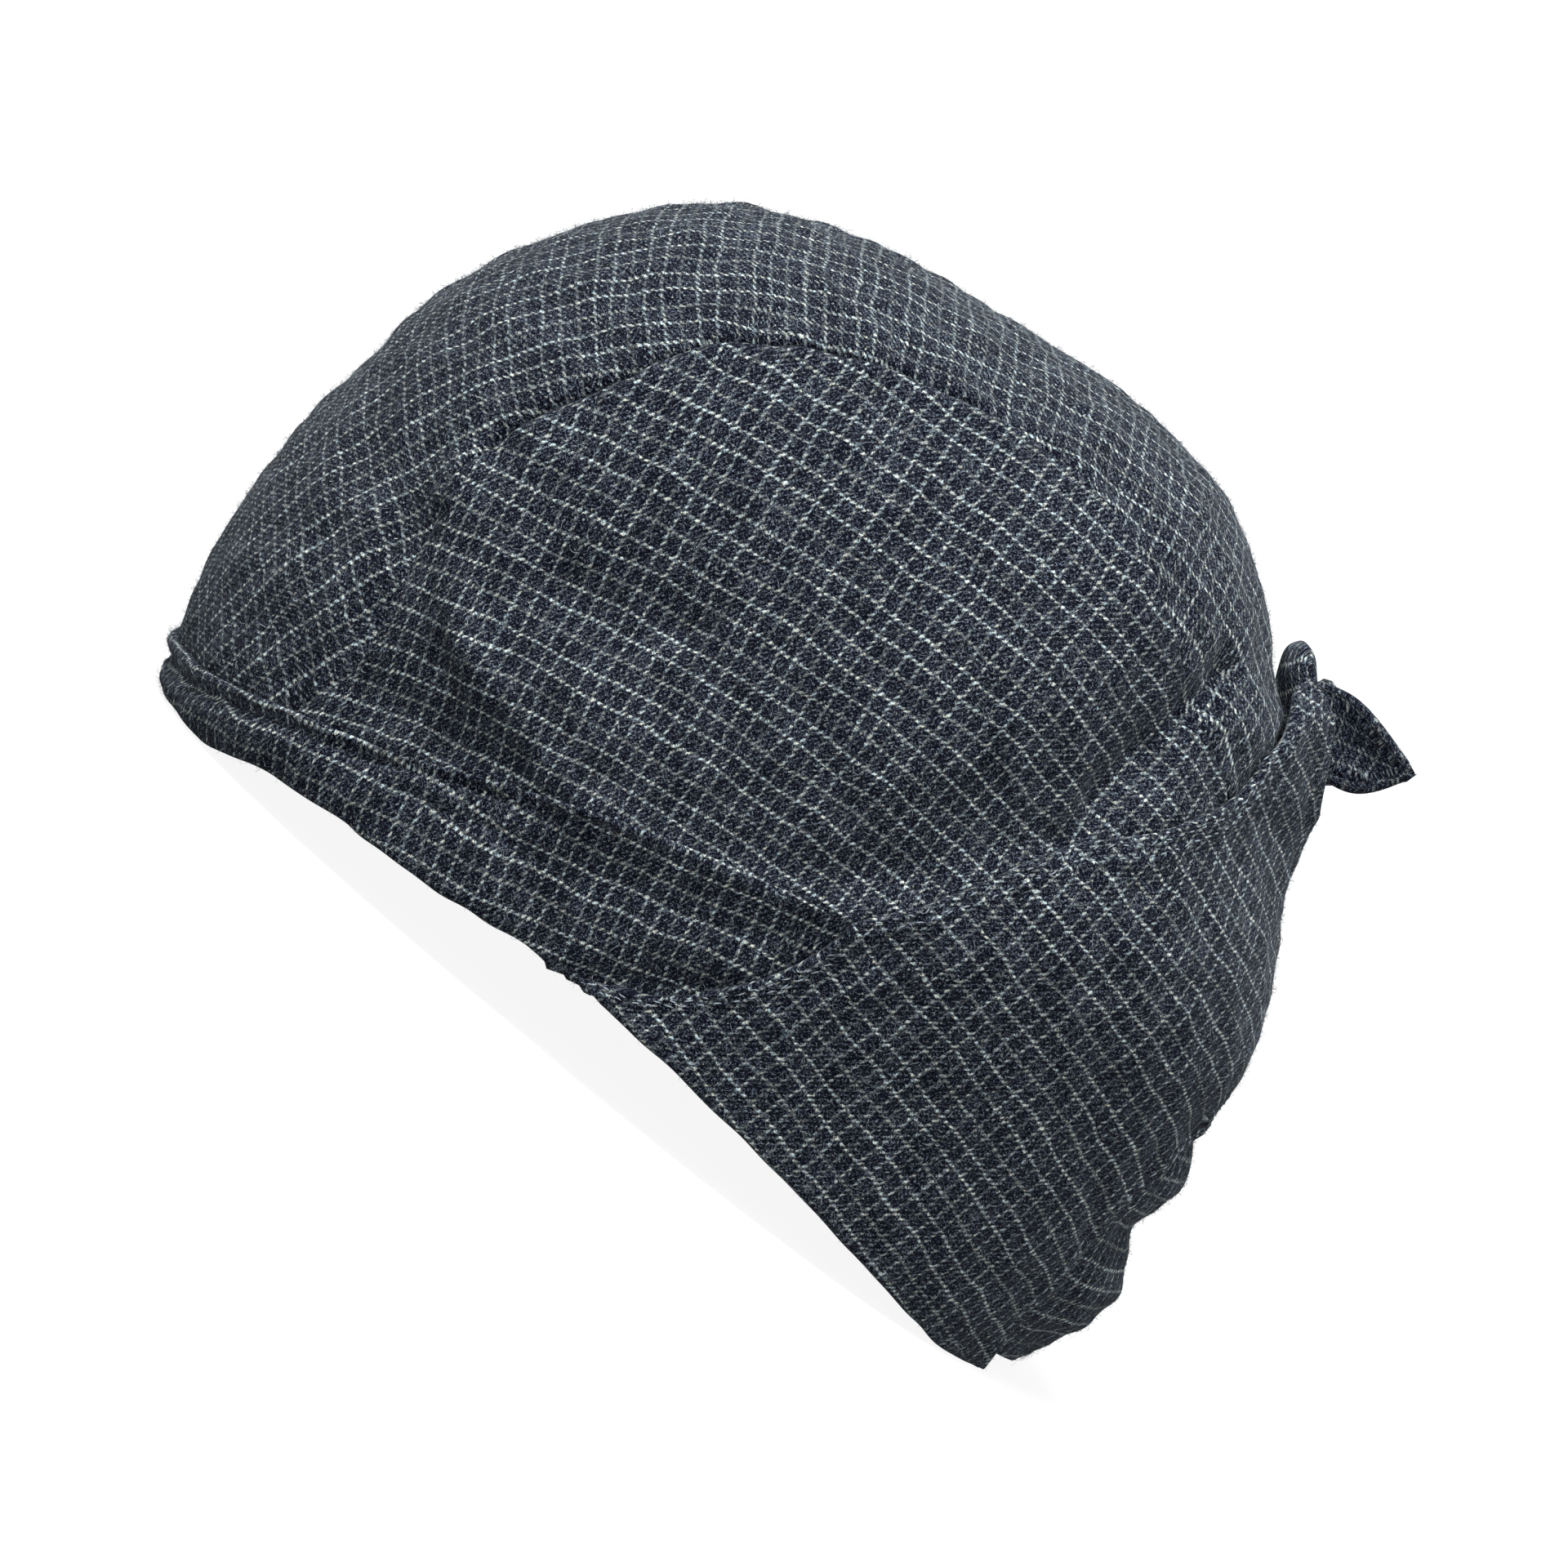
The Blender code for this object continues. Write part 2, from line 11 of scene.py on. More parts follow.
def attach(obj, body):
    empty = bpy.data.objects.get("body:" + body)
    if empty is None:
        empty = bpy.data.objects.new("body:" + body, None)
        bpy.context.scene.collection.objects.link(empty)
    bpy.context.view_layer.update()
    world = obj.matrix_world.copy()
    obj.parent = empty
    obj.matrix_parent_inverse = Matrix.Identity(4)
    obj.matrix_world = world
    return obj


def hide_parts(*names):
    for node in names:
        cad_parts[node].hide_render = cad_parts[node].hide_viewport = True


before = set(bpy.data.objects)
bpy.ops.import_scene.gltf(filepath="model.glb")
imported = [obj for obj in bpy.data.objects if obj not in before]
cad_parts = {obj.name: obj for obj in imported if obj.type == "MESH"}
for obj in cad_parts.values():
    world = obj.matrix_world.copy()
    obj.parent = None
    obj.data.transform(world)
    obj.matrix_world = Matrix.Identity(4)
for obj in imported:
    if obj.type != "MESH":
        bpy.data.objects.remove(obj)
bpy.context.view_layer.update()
BODY = "root"

# Overall form of the crown, as in the solids
CROWN_LENGTH = 0.2225
CROWN_HEIGHT = 0.155
CROWN_WIDTH = 0.156
SKIRT_REACH = 0.170
ROUNDNESS = 2.35
HEART_UP = 0.287
HALF_WIDTH = CROWN_WIDTH / 2
HEART = np.array((0.0, 0.0, HEART_UP * CROWN_HEIGHT))
ACROSS = np.array((1.0, 0.0, 0.0))
MIRROR_X = np.array((-1.0, 1.0, 1.0))

# Cloth and the spaces between its layers
CLOTH = 0.0020
BAND_FOLD = 0.0034
LAYER_GAP = 0.0007
WRAP_LIFT = LAYER_GAP + CLOTH
SEAM_GAP = 0.00016
FLOOR_GIVE = 0.0012

# The knot and its two ends
KNOT_LENGTH = 0.030
KNOT_WIDTH = 0.023
KNOT_DEPTH = 0.0088
KNOT_BOXINESS = 2.8
KNOT_CLEARANCE = 0.0009
KNOT_FLATNESS = 8
KNOT_RING_RADIANS = (0.40, 2.10)
KNOT_SEAT = (0.0, 0.296, 0.794)
WRAP_RISE = 0.0142
WRAP_RISE_SPREAD = 0.022
WRAP_ROLL_SHARE = 0.15
ROLL_ENDS = 0.027
ROLL_FADE = 0.020
UPPER_SHARE = 0.62
UPPER_FADE = 0.010
TAIL_LENGTH = 0.0195
TAIL_WIDTH = 0.015
TAIL_CLOTH = 0.0022
TAIL_TAPER_SHARE = 0.9
TAIL_POINT = 2.2
TAIL_BELLY_SHARE = 0.26
TAIL_ROOT_SHARE = 0.88
NAPE_FULLNESS = 0.0105
NAPE_FREE_SHARE = 0.84
NAPE_SOFTNESS = 1.5
TUCK = 0.0055

# Middle line of the crown, front hem to nape hem.
# Columns: name, along as a share of CROWN_LENGTH, up as a share of CROWN_HEIGHT.
PROFILE = [
    ("front_hem", -0.446, -0.010),
    ("band_top", -0.472, 0.076),
    ("low_brow", -0.486, 0.146),
    ("brow", -0.495, 0.223),
    ("forehead", -0.498, 0.339),
    ("rise", -0.489, 0.455),
    ("slope", -0.478, 0.571),
    ("fore_crest", -0.416, 0.754),
    ("crest", -0.359, 0.851),
    ("top_front", -0.243, 0.939),
    ("top_dip", -0.109, 0.978),
    ("top", 0.040, 1.000),
    ("top_back", 0.137, 0.982),
    ("turn", 0.223, 0.911),
    ("back_high", 0.292, 0.794),
    ("knot_level", 0.341, 0.690),
    ("back_mid", 0.410, 0.574),
    ("back_low", 0.444, 0.470),
    ("nape_high", 0.450, 0.354),
    ("nape", 0.453, 0.192),
    ("nape_hem", 0.444, 0.011),
]

# Lines on the left side. Columns: across as a share of HALF_WIDTH, along of CROWN_LENGTH
# and up of CROWN_HEIGHT; the shell then takes the point to itself.
SEAM = [
    (0.736, -0.357, 0.111),
    (0.790, -0.342, 0.198),
    (0.780, -0.352, 0.283),
    (0.756, -0.362, 0.374),
    (0.726, -0.370, 0.461),
    (0.721, -0.353, 0.559),
    (0.718, -0.322, 0.640),
    (0.683, -0.287, 0.735),
    (0.648, -0.213, 0.820),
    (0.611, -0.130, 0.868),
    (0.592, -0.050, 0.894),
    (0.606, 0.025, 0.897),
    (0.645, 0.138, 0.848),
    (0.610, 0.214, 0.786),
    (0.520, 0.273, 0.726),
    (0.450, 0.305, 0.686),
]
BAND_TOP_FRONT = [
    (0.000, -0.470, 0.060),
    (0.270, -0.455, 0.062),
    (0.530, -0.412, 0.078),
    SEAM[0],
]
BAND_TOP_SIDE = [
    (0.874, -0.273, 0.155),
    (0.945, -0.199, 0.205),
    (0.988, -0.106, 0.263),
    (0.999, -0.039, 0.294),
    (0.999, 0.030, 0.320),
    (0.986, 0.096, 0.346),
    (0.980, 0.112, 0.362),
]
RIM_FRONT = [
    (0.000, -0.450, 0.008),
    (0.250, -0.440, 0.003),
    (0.480, -0.415, -0.005),
    (0.600, -0.385, 0.010),
    (0.701, -0.353, 0.031),
    (0.807, -0.298, 0.050),
    (0.867, -0.255, 0.061),
    (0.926, -0.192, 0.069),
    (0.962, -0.136, 0.081),
    (0.981, -0.089, 0.089),
    (0.990, -0.043, 0.088),
    (0.993, -0.018, 0.092),
]
LEADING_EDGE = [
    (0.990, -0.043, 0.096),
    (0.995, 0.011, 0.132),
    (0.995, 0.057, 0.200),
    (0.990, 0.088, 0.280),
    (0.986, 0.098, 0.346),
]
WRAP_TOP = [
    LEADING_EDGE[-1],
    (0.962, 0.132, 0.407),
    (0.929, 0.158, 0.466),
    (0.866, 0.191, 0.543),
    (0.805, 0.217, 0.588),
    (0.735, 0.243, 0.622),
    (0.644, 0.264, 0.662),
    (0.505, 0.285, 0.712),
    (0.370, 0.284, 0.772),
    (0.250, 0.272, 0.828),
]
RIM_BACK = [
    LEADING_EDGE[0],
    (0.991, -0.005, 0.097),
    (0.986, 0.053, 0.093),
    (0.953, 0.148, 0.079),
    (0.870, 0.245, 0.057),
    (0.755, 0.317, 0.036),
    (0.570, 0.390, 0.008),
    (0.385, 0.430, -0.007),
]
ARCH = [
    RIM_BACK[-1],
    (0.445, 0.425, 0.090),
    (0.452, 0.425, 0.190),
    (0.415, 0.430, 0.285),
    (0.325, 0.440, 0.352),
    (0.165, 0.452, 0.395),
    (0.020, 0.455, 0.425),
]
BACK_LINE = [
    (0.000, 0.445, 0.490),
    (0.000, 0.415, 0.570),
    (0.000, 0.375, 0.650),
]
CROWN_HEM_SIDE = [
    (0.967, 0.133, 0.386),
    (0.937, 0.162, 0.433),
    (0.882, 0.196, 0.503),
    (0.822, 0.224, 0.549),
    (0.752, 0.252, 0.584),
    (0.655, 0.276, 0.622),
    (0.530, 0.298, 0.664),
    SEAM[-1],
]
CROWN_HEM_BACK = [
    SEAM[-1],
    (0.250, 0.372, 0.596),
    (0.000, 0.432, 0.506),
]
NAPE_TOP = [
    (0.000, 0.450, 0.480),
    (0.070, 0.450, 0.475),
]
NAPE_HEM = [
    (0.000, 0.440, 0.050),
    (0.250, 0.435, 0.030),
    (0.455, 0.430, 0.012),
]

# Fullness of the nape piece. Columns: up as a share of CROWN_HEIGHT, share of NAPE_FULLNESS.
GATHERS = [
    (0.000, 0.52),
    (0.060, 0.64),
    (0.115, 0.98),
    (0.165, 1.00),
    (0.235, 0.42),
    (0.290, 0.66),
    (0.340, 0.44),
    (0.375, 0.10),
    (0.400, 0.00),
    (0.480, 0.00),
]

# Dents, ridges and creases, alike on both sides. Columns: name, points as above, reach to
# each side and depth as shares of HALF_WIDTH; a depth below zero goes inwards.
FOLDS = [
    ("side_ridge", [(0.80, -0.33, 0.42), (0.915, -0.243, 0.345), (0.980, -0.130, 0.320)], 0.10, 0.022),
    ("temple_dent", [(0.850, -0.300, 0.190), (0.937, -0.213, 0.230)], 0.15, -0.034),
    ("side_dent", [(0.920, -0.231, 0.408), (0.949, -0.154, 0.495)], 0.22, -0.036),
    ("back_valley", [(0.700, 0.190, 0.735), (0.790, 0.185, 0.660), (0.880, 0.150, 0.570)], 0.15, -0.050),
    ("low_valley", [(0.925, 0.120, 0.510), (0.975, 0.085, 0.430)], 0.12, -0.036),
    ("long_crease", [(0.990, -0.080, 0.205), (1.000, -0.010, 0.243), (0.999, 0.040, 0.265)], 0.07, -0.010),
    ("wrap_fold", [(0.990, -0.020, 0.120), (0.997, 0.035, 0.178)], 0.06, -0.022),
    ("wrap_hollow", [(0.930, 0.230, 0.230), (0.800, 0.320, 0.330)], 0.30, -0.030),
]
CREASES = [
    ("front_ridge", [(0.740, -0.361, 0.440), (0.798, -0.335, 0.368), (0.890, -0.268, 0.296)], 0.060, 0.028),
    ("temple_ridge", [(0.890, -0.268, 0.296), (0.950, -0.195, 0.262), (0.985, -0.110, 0.245)], 0.050, 0.030),
    ("temple_roll", [(0.987, -0.107, 0.264), (0.997, -0.042, 0.276), (0.988, 0.088, 0.348)], 0.036, 0.018),
    ("side_hollow", [(0.889, -0.263, 0.423), (0.924, -0.212, 0.461), (0.944, -0.166, 0.494)], 0.085, -0.024),
    ("temple_dip", [(0.843, -0.301, 0.188), (0.913, -0.241, 0.228), (0.953, -0.187, 0.248)], 0.060, -0.020),
    ("brow_hollow", [(0.550, -0.440, 0.383), (0.663, -0.403, 0.376), (0.792, -0.342, 0.360)], 0.100, -0.018),
    ("back_hollow", [(0.830, 0.200, 0.575), (0.716, 0.209, 0.710), (0.520, 0.214, 0.830)], 0.052, -0.056),
    ("wrap_shade", [(0.991, 0.056, 0.374), (0.953, 0.125, 0.452), (0.887, 0.173, 0.539)], 0.050, -0.020),
    ("middle_temple", [(0.995, -0.063, 0.214), (0.998, -0.007, 0.231), (0.997, 0.049, 0.274)], 0.018, -0.008),
    ("lower_temple", [(0.891, -0.241, 0.128), (0.949, -0.172, 0.158), (0.982, -0.102, 0.182)], 0.024, -0.012),
    ("wrap_tuck", [(0.988, -0.052, 0.095), (0.995, -0.013, 0.130), (0.995, 0.035, 0.178)], 0.018, -0.016),
    ("knot_shoulder", [(0.420, 0.270, 0.790), (0.320, 0.276, 0.800), (0.230, 0.280, 0.806)], 0.090, 0.045),
]

# Slight unevenness of worn cloth. Columns: waves in a metre along X, Y and Z, height in metres.
RIPPLES = [
    ((20, 62, 35), 0.00022),
    ((-45, 38, 58), 0.00020),
    ((30, -75, 50), 0.00016),
    ((60, 95, -70), 0.00012),
    ((-85, 40, 100), 0.00010),
]

# The photograph's view: the cap seen from its left, turned in the picture
ROLL = np.radians(39.4)
RAISED = np.radians(6.0)
LOOKED_AT = np.array((0.0, 0.0014, 0.0583))
CAMERA_DISTANCE = 1.4
PICTURE_WIDTH = 1920 * 0.000153
SENSOR = 36.0


def places(rows):
    """Points for rows of shares of the half width, the length and the height."""
    return np.array(rows) * (HALF_WIDTH, CROWN_LENGTH, CROWN_HEIGHT)


def smooth_table(marks, values):
    """A smooth function through a table of values or points, one for each mark."""
    slopes = np.gradient(values, marks, axis=0)

    def at(mark):
        held = np.clip(mark, marks[0], marks[-1])
        index = np.clip(np.searchsorted(marks, held) - 1, 0, len(marks) - 2)
        span = marks[index + 1] - marks[index]
        t = (held - marks[index]) / span
        if values.ndim > 1:
            span = span[..., None]
            t = t[..., None]
        start = (2 * t**3 - 3 * t**2 + 1) * values[index] + (t**3 - 2 * t**2 + t) * span * slopes[index]
        end = (3 * t**2 - 2 * t**3) * values[index + 1] + (t**3 - t**2) * span * slopes[index + 1]
        return start + end

    return at


def lengths_along(points):
    """Distance of each point from the first, along the chords."""
    steps = np.linalg.norm(np.diff(points, axis=0), axis=1)
    return np.concatenate(([0.0], np.cumsum(steps)))


def curve_through(points, first=0, last=-1):
    """A smooth line through points, or its part between two of them, by the share of its length."""
    marks = lengths_along(points)
    table = smooth_table(marks, points)
    return lambda share: table(marks[first] + share * (marks[last] - marks[first]))


def curve(rows):
    """A smooth line through rows of shares."""
    return curve_through(places(rows))


def profile_table():
    """Distance from the heart to the middle line, by the angle from straight ahead over the top."""
    along = np.array([row[1] for row in PROFILE]) * CROWN_LENGTH
    up = np.array([row[2] for row in PROFILE]) * CROWN_HEIGHT - HEART[2]
    angles = np.arctan2(up, -along)
    angles = np.where(angles < -np.pi / 2, angles + 2 * np.pi, angles)
    angles = np.concatenate(([-np.pi / 2], angles, [1.5 * np.pi]))
    reaches = np.concatenate(([SKIRT_REACH], np.hypot(along, up), [SKIRT_REACH]))
    return smooth_table(angles, reaches)


# The crown's lower edge, from the middle of the front to the seam's end under the wrap
CROWN_FOOT = places(BAND_TOP_FRONT + BAND_TOP_SIDE + CROWN_HEM_SIDE)
SEAM_FOOT = len(BAND_TOP_FRONT) - 1
BAND_END = SEAM_FOOT + len(BAND_TOP_SIDE)
PROFILE_REACH = profile_table()


def units(vectors):
    """The same directions at length one."""
    return vectors / np.linalg.norm(vectors, axis=-1, keepdims=True)


def shell_base(points):
    """Where lines from the heart through points meet the smooth shell."""
    unit = units(points - HEART)
    around = np.arctan2(unit[:, 2], -unit[:, 1])
    across = np.abs(unit[:, 0]) / HALF_WIDTH
    around = np.where(around < -np.pi / 2, around + 2 * np.pi, around)
    inline = np.hypot(unit[:, 1], unit[:, 2]) / PROFILE_REACH(around)
    return HEART + unit / ((across**ROUNDNESS + inline**ROUNDNESS) ** (1 / ROUNDNESS))[:, None]


def line_distance(points, line):
    """Distance from each point to a line of straight pieces."""
    nearest = np.full(len(points), np.inf)
    for start, end in zip(line[:-1], line[1:]):
        step = end - start
        share = np.clip((points - start) @ step / (step @ step), 0, 1)
        nearest = np.minimum(nearest, np.linalg.norm(points - start - share[:, None] * step, axis=1))
    return nearest


FOLD_STEPS = np.linspace(0, 1, 13)
FOLD_LINES = [
    (shell_base(curve(rows)(FOLD_STEPS)), reach * HALF_WIDTH, depth * HALF_WIDTH)
    for _name, rows, reach, depth in FOLDS + CREASES
]


def fold_depth(points):
    """How far the dents, ridges, creases and ripples move each point of the shell outwards."""
    folded = np.abs(points) * (1, 0, 0) + points * (0, 1, 1)
    depth = np.zeros(len(points))
    for line, reach, height in FOLD_LINES:
        middle = line.mean(axis=0)
        span = np.linalg.norm(line - middle, axis=1).max() + 3 * reach
        near = np.linalg.norm(folded - middle, axis=1) < span
        depth[near] += height * np.exp(-((line_distance(folded[near], line) / reach) ** 2))
    for waves, height in RIPPLES:
        depth += height * np.sin(2 * np.pi * (points @ waves))
    return depth


def shell(points, lift):
    """Take points to the folded shell along lines from the heart, then raise them by lift."""
    base = shell_base(points)
    return base + units(base - HEART) * (fold_depth(base) + lift)[:, None]


def patch_point(bottom, top, start, end, u, v):
    """A point between four boundary lines, at shares u along and v up."""
    along = (1 - v)[:, None] * bottom(u) + v[:, None] * top(u)
    up = (1 - u)[:, None] * start(v) + u[:, None] * end(v)
    zero = np.zeros(1)
    one = np.ones(1)
    corners = ((1 - u) * (1 - v))[:, None] * bottom(zero) + (u * (1 - v))[:, None] * bottom(one)
    corners += ((1 - u) * v)[:, None] * top(zero) + (u * v)[:, None] * top(one)
    return along + up - corners


def inset(share, length, gap):
    """Shares of a length, moved in from both of its ends by a gap."""
    margin = gap / length
    return margin + share * (1 - 2 * margin)


def smooth_step(value):
    """Zero below 0, one above 1 and smooth between."""
    held = np.clip(value, 0, 1)
    return held * held * (3 - 2 * held)


def fade(value, width):
    """Zero well below 0, one well above it and smooth over a width round it."""
    return smooth_step(value / width + 0.5)


def bump(distance, place, width):
    """A soft bump of height one, a width to each side of a place."""
    return np.exp(-(((distance - place) / width) ** 2))


def mirrored_line(line):
    """The same line on the wearer's right."""
    return lambda share: line(share) * MIRROR_X


def across_line(half):
    """A line from the left end of a half line, over the middle, to its mirror image."""

    def at(share):
        left = half(np.clip(1 - 2 * share, 0, 1))
        right = half(np.clip(2 * share - 1, 0, 1)) * MIRROR_X
        return np.where((share < 0.5)[:, None], left, right)

    return at


def line_length(line):
    """Length of a line, from a few chords."""
    return lengths_along(line(np.linspace(0, 1, 33)))[-1]


def grid_points(place, squares):
    """The points that place() gives for a grid, as rows of points."""
    u, v = np.meshgrid(np.linspace(0, 1, squares[0] + 1), np.linspace(0, 1, squares[1] + 1))
    return place(u.ravel(), v.ravel()).reshape(squares[1] + 1, squares[0] + 1, 3)


def grid_areas(points):
    """Normals of a grid, as long as its squares are large, where its rows run from left to right."""
    return np.cross(np.gradient(points, axis=1), np.gradient(points, axis=0))


def grid_normals(points):
    """Unit normals of a grid, safe where its squares are squeezed to nothing."""
    normals = grid_areas(points)
    return normals / np.maximum(np.linalg.norm(normals, axis=2), 1e-12)[..., None]


def edge_distances(points):
    """Distance of each point of a grid from its start, end, low and high edges."""
    along = np.linalg.norm(np.diff(points, axis=1), axis=2)
    up = np.linalg.norm(np.diff(points, axis=0), axis=2)
    start = np.pad(np.cumsum(along, axis=1), ((0, 0), (1, 0)))
    low = np.pad(np.cumsum(up, axis=0), ((1, 0), (0, 0)))
    return {"start": start, "end": start[:, -1:] - start, "low": low, "high": low[-1:] - low}


FLAT_SQUARES = (32, 16)
FLAT_STEPS = 700
FLAT_PULL = 0.10
FLAT_KEPT_SPEED = 0.92
FLAT_DEGREE = 4


def smooth_terms(points):
    """Products of the powers of X, Y and Z, up to FLAT_DEGREE together, for rows of points."""
    powers = range(FLAT_DEGREE + 1)
    mixes = [(a, b, c) for a in powers for b in powers for c in powers if a + b + c <= FLAT_DEGREE]
    return np.stack([(points**mix).prod(axis=-1) for mix in mixes], axis=-1)


def flattened(place, squares, curled):
    """Where each point of a curved grid lies on the flat cloth that it was cut from, in metres.

    A coarse grid starts from its lengths along and up, or from the plane that it faces if it
    isn't curled, and its threads and diagonals then pull it towards their real lengths. A
    smooth function of the place then fits it, so that the cloth runs evenly into corners too.
    """
    points = grid_points(place, FLAT_SQUARES)
    middle = (FLAT_SQUARES[1] // 2, FLAT_SQUARES[0] // 2)
    far = edge_distances(points)
    flat = np.stack((far["start"] - far["start"][:, [middle[1]]], far["low"] - far["low"][middle[0]]), axis=2)
    rows, columns = flat.shape[:2]
    if not curled:
        facing = grid_normals(points).mean(axis=(0, 1))
        along = points[middle[0], middle[1] + 1] - points[middle[0], middle[1] - 1]
        along = units(along - facing * (along @ facing) / (facing @ facing))
        flat = (points - points[middle]) @ np.stack((along, units(np.cross(facing, along))), axis=1)
    ties = []
    for down, right in ((0, 1), (1, 0), (1, 1), (1, -1)):
        first = (slice(0, rows - down), slice(max(0, -right), columns - max(0, right)))
        second = (slice(down, rows), slice(max(0, right), columns + min(0, right)))
        ties.append((first, second, np.linalg.norm(points[second] - points[first], axis=2)))
    speed = np.zeros_like(flat)
    for _step in range(FLAT_STEPS):
        pull = np.zeros_like(flat)
        for first, second, length in ties:
            apart = flat[second] - flat[first]
            now = np.linalg.norm(apart, axis=2)
            share = (FLAT_PULL * (now - length) / now)[..., None] * apart
            pull[first] += share
            pull[second] -= share
        speed = FLAT_KEPT_SPEED * speed + pull
        flat += speed
    centre = points.mean(axis=(0, 1))
    spread = np.abs(points - centre).max()
    size = np.linalg.norm(grid_areas(points), axis=2)
    weight = np.sqrt(size / size.max()).reshape(-1, 1)
    terms = smooth_terms((points - centre) / spread).reshape(len(weight), -1)
    factors = np.linalg.lstsq(terms * weight, flat.reshape(-1, 2) * weight, rcond=1e-6)[0]
    return smooth_terms((grid_points(place, squares) - centre) / spread) @ factors


def rest_on_floor(points):
    """Press what comes near the floor up against it, without crossing it."""
    height = points[..., 2]
    pressed = FLOOR_GIVE * np.exp(np.minimum(height - FLOOR_GIVE, 0) / FLOOR_GIVE)
    points[..., 2] = np.where(height < FLOOR_GIVE, pressed, height)
    return points


def perimeter(rows, columns):
    """Row and column of each point round a grid's edge, the grid on its left, and the edge's name."""
    walk = [(0, c, "low") for c in range(columns - 1)]
    walk += [(r, columns - 1, "end") for r in range(rows - 1)]
    walk += [(rows - 1, c, "high") for c in range(columns - 1, 0, -1)]
    walk += [(r, 0, "start") for r in range(rows - 1, 0, -1)]
    return walk


def mesh_object(name, vertices, faces, cloth=None, bake=None):
    """An object from arrays: corners, four-sided faces and a place on the flat cloth for each corner.

    bake holds a place on the piece's own picture for each corner of each face.
    """
    mesh = bpy.data.meshes.new(name)
    mesh.vertices.add(len(vertices))
    mesh.vertices.foreach_set("co", vertices.astype(np.float32).ravel())
    mesh.loops.add(faces.size)
    mesh.loops.foreach_set("vertex_index", faces.astype(np.int32).ravel())
    mesh.polygons.add(len(faces))
    mesh.polygons.foreach_set("loop_start", np.arange(0, faces.size, 4, dtype=np.int32))
    mesh.update(calc_edges=True)
    on_corners = None if cloth is None else cloth[faces.ravel()]
    for layer, spots in (("cloth", on_corners), ("OFBake", bake)):
        if spots is not None:
            uv = mesh.uv_layers.new(name=layer).uv
            uv.foreach_set("vector", spots.astype(np.float32).ravel())
    mesh.validate()
    mesh.shade_smooth()
    piece = bpy.data.objects.new(name, mesh)
    bpy.context.scene.collection.objects.link(piece)
    return piece


def faces_between(corner, after):
    """Four-sided faces between rows of corners, from the corners and those after them in each row."""
    return np.stack((corner[:-1], after[:-1], after[1:], corner[1:]), axis=-1).reshape(-1, 4)


EDGE_TURNS = np.radians((35, 90, 145))

# Where a sheet's outer side, inner side and edges lie on its own picture
OUTER_PICTURE = np.array(((0.004, 0.004), (0.996, 0.760)))
INNER_PICTURE = np.array(((0.004, 0.768), (0.996, 0.968)))
EDGE_PICTURE = np.array(((0.004, 0.976), (0.996, 0.996)))


def in_picture(box, spot):
    """Shares of a box of the picture as places on the picture."""
    low, high = box
    return low + spot * (high - low)


def closed_sheet(name, outer, wall, roundness, cloth):
    """Cloth with its real thickness: an outer side, an inner side and rounded edges all round.

    roundness holds how far an edge bulges, as a share of a half circle, where that isn't 1.
    """
    rows, columns = outer.shape[:2]
    normals = grid_normals(outer)
    inner = outer - normals * wall
    walk = perimeter(rows, columns)
    index = np.array([(r, c) for r, c, _edge in walk])
    round_share = np.array([roundness.get(edge, 1.0) for _r, _c, edge in walk])
    edge = outer[index[:, 0], index[:, 1]]
    inward_row = np.clip(index[:, 0], 1, rows - 2)
    inward_column = np.clip(index[:, 1], 1, columns - 2)
    away = edge - outer[inward_row, inward_column]
    across = normals[index[:, 0], index[:, 1]]
    away = units(away - (away * across).sum(axis=1)[:, None] * across)
    half = wall / 2
    flat_edge = cloth[index[:, 0], index[:, 1]]
    flat_away = units(flat_edge - cloth[inward_row, inward_column])
    rings = []
    ring_cloth = []
    for turn in EDGE_TURNS:
        rings.append(edge + half * ((np.cos(turn) - 1) * across + np.sin(turn) * round_share[:, None] * away))
        ring_cloth.append(flat_edge + flat_away * half * turn)
    vertices = rest_on_floor(np.concatenate([outer.reshape(-1, 3), inner.reshape(-1, 3), *rings]))
    on_cloth = np.concatenate([cloth.reshape(-1, 2), cloth.reshape(-1, 2), *ring_cloth])
    corner = np.arange(rows * columns).reshape(rows, columns)
    quads = faces_between(corner[:, :-1], corner[:, 1:])
    count = rows * columns
    chains = [corner[index[:, 0], index[:, 1]]]
    chains += [2 * count + k * len(walk) + np.arange(len(walk)) for k in range(len(EDGE_TURNS))]
    chains.append(chains[0] + count)
    strips = [
        np.stack((np.roll(near, -1), near, far, np.roll(far, -1)), axis=1)
        for near, far in zip(chains, chains[1:])
    ]
    faces = np.concatenate([quads, quads[:, ::-1] + count, *strips])
    row, column = np.divmod(quads, columns)
    spot = np.stack((column / (columns - 1), row / (rows - 1)), axis=2)
    sides = [in_picture(OUTER_PICTURE, spot), in_picture(INNER_PICTURE, spot)[:, ::-1]]
    step = np.arange(len(walk))[:, None] + (1, 0, 0, 1)
    for k in range(len(strips)):
        strip = np.stack((step / len(walk), (k + np.array((0, 0, 1, 1)) + 0 * step) / len(strips)), axis=2)
        sides.append(in_picture(EDGE_PICTURE, strip))
    return mesh_object(name, vertices, faces, on_cloth, np.concatenate(sides))


SHEETS = {}


def turned(degrees, side, bend=0.0):
    """A grain turned on the flat cloth, mirrored on the wearer's right.

    bend is how much more it turns in radians for each metre along the panel.
    """

    def grain(flat):
        place = flat[..., 0] * side + 1j * flat[..., 1]
        place = place * (1 + 0.5j * bend * place) * np.exp(1j * np.radians(degrees))
        return np.stack((place.real, place.imag), axis=-1)

    return grain


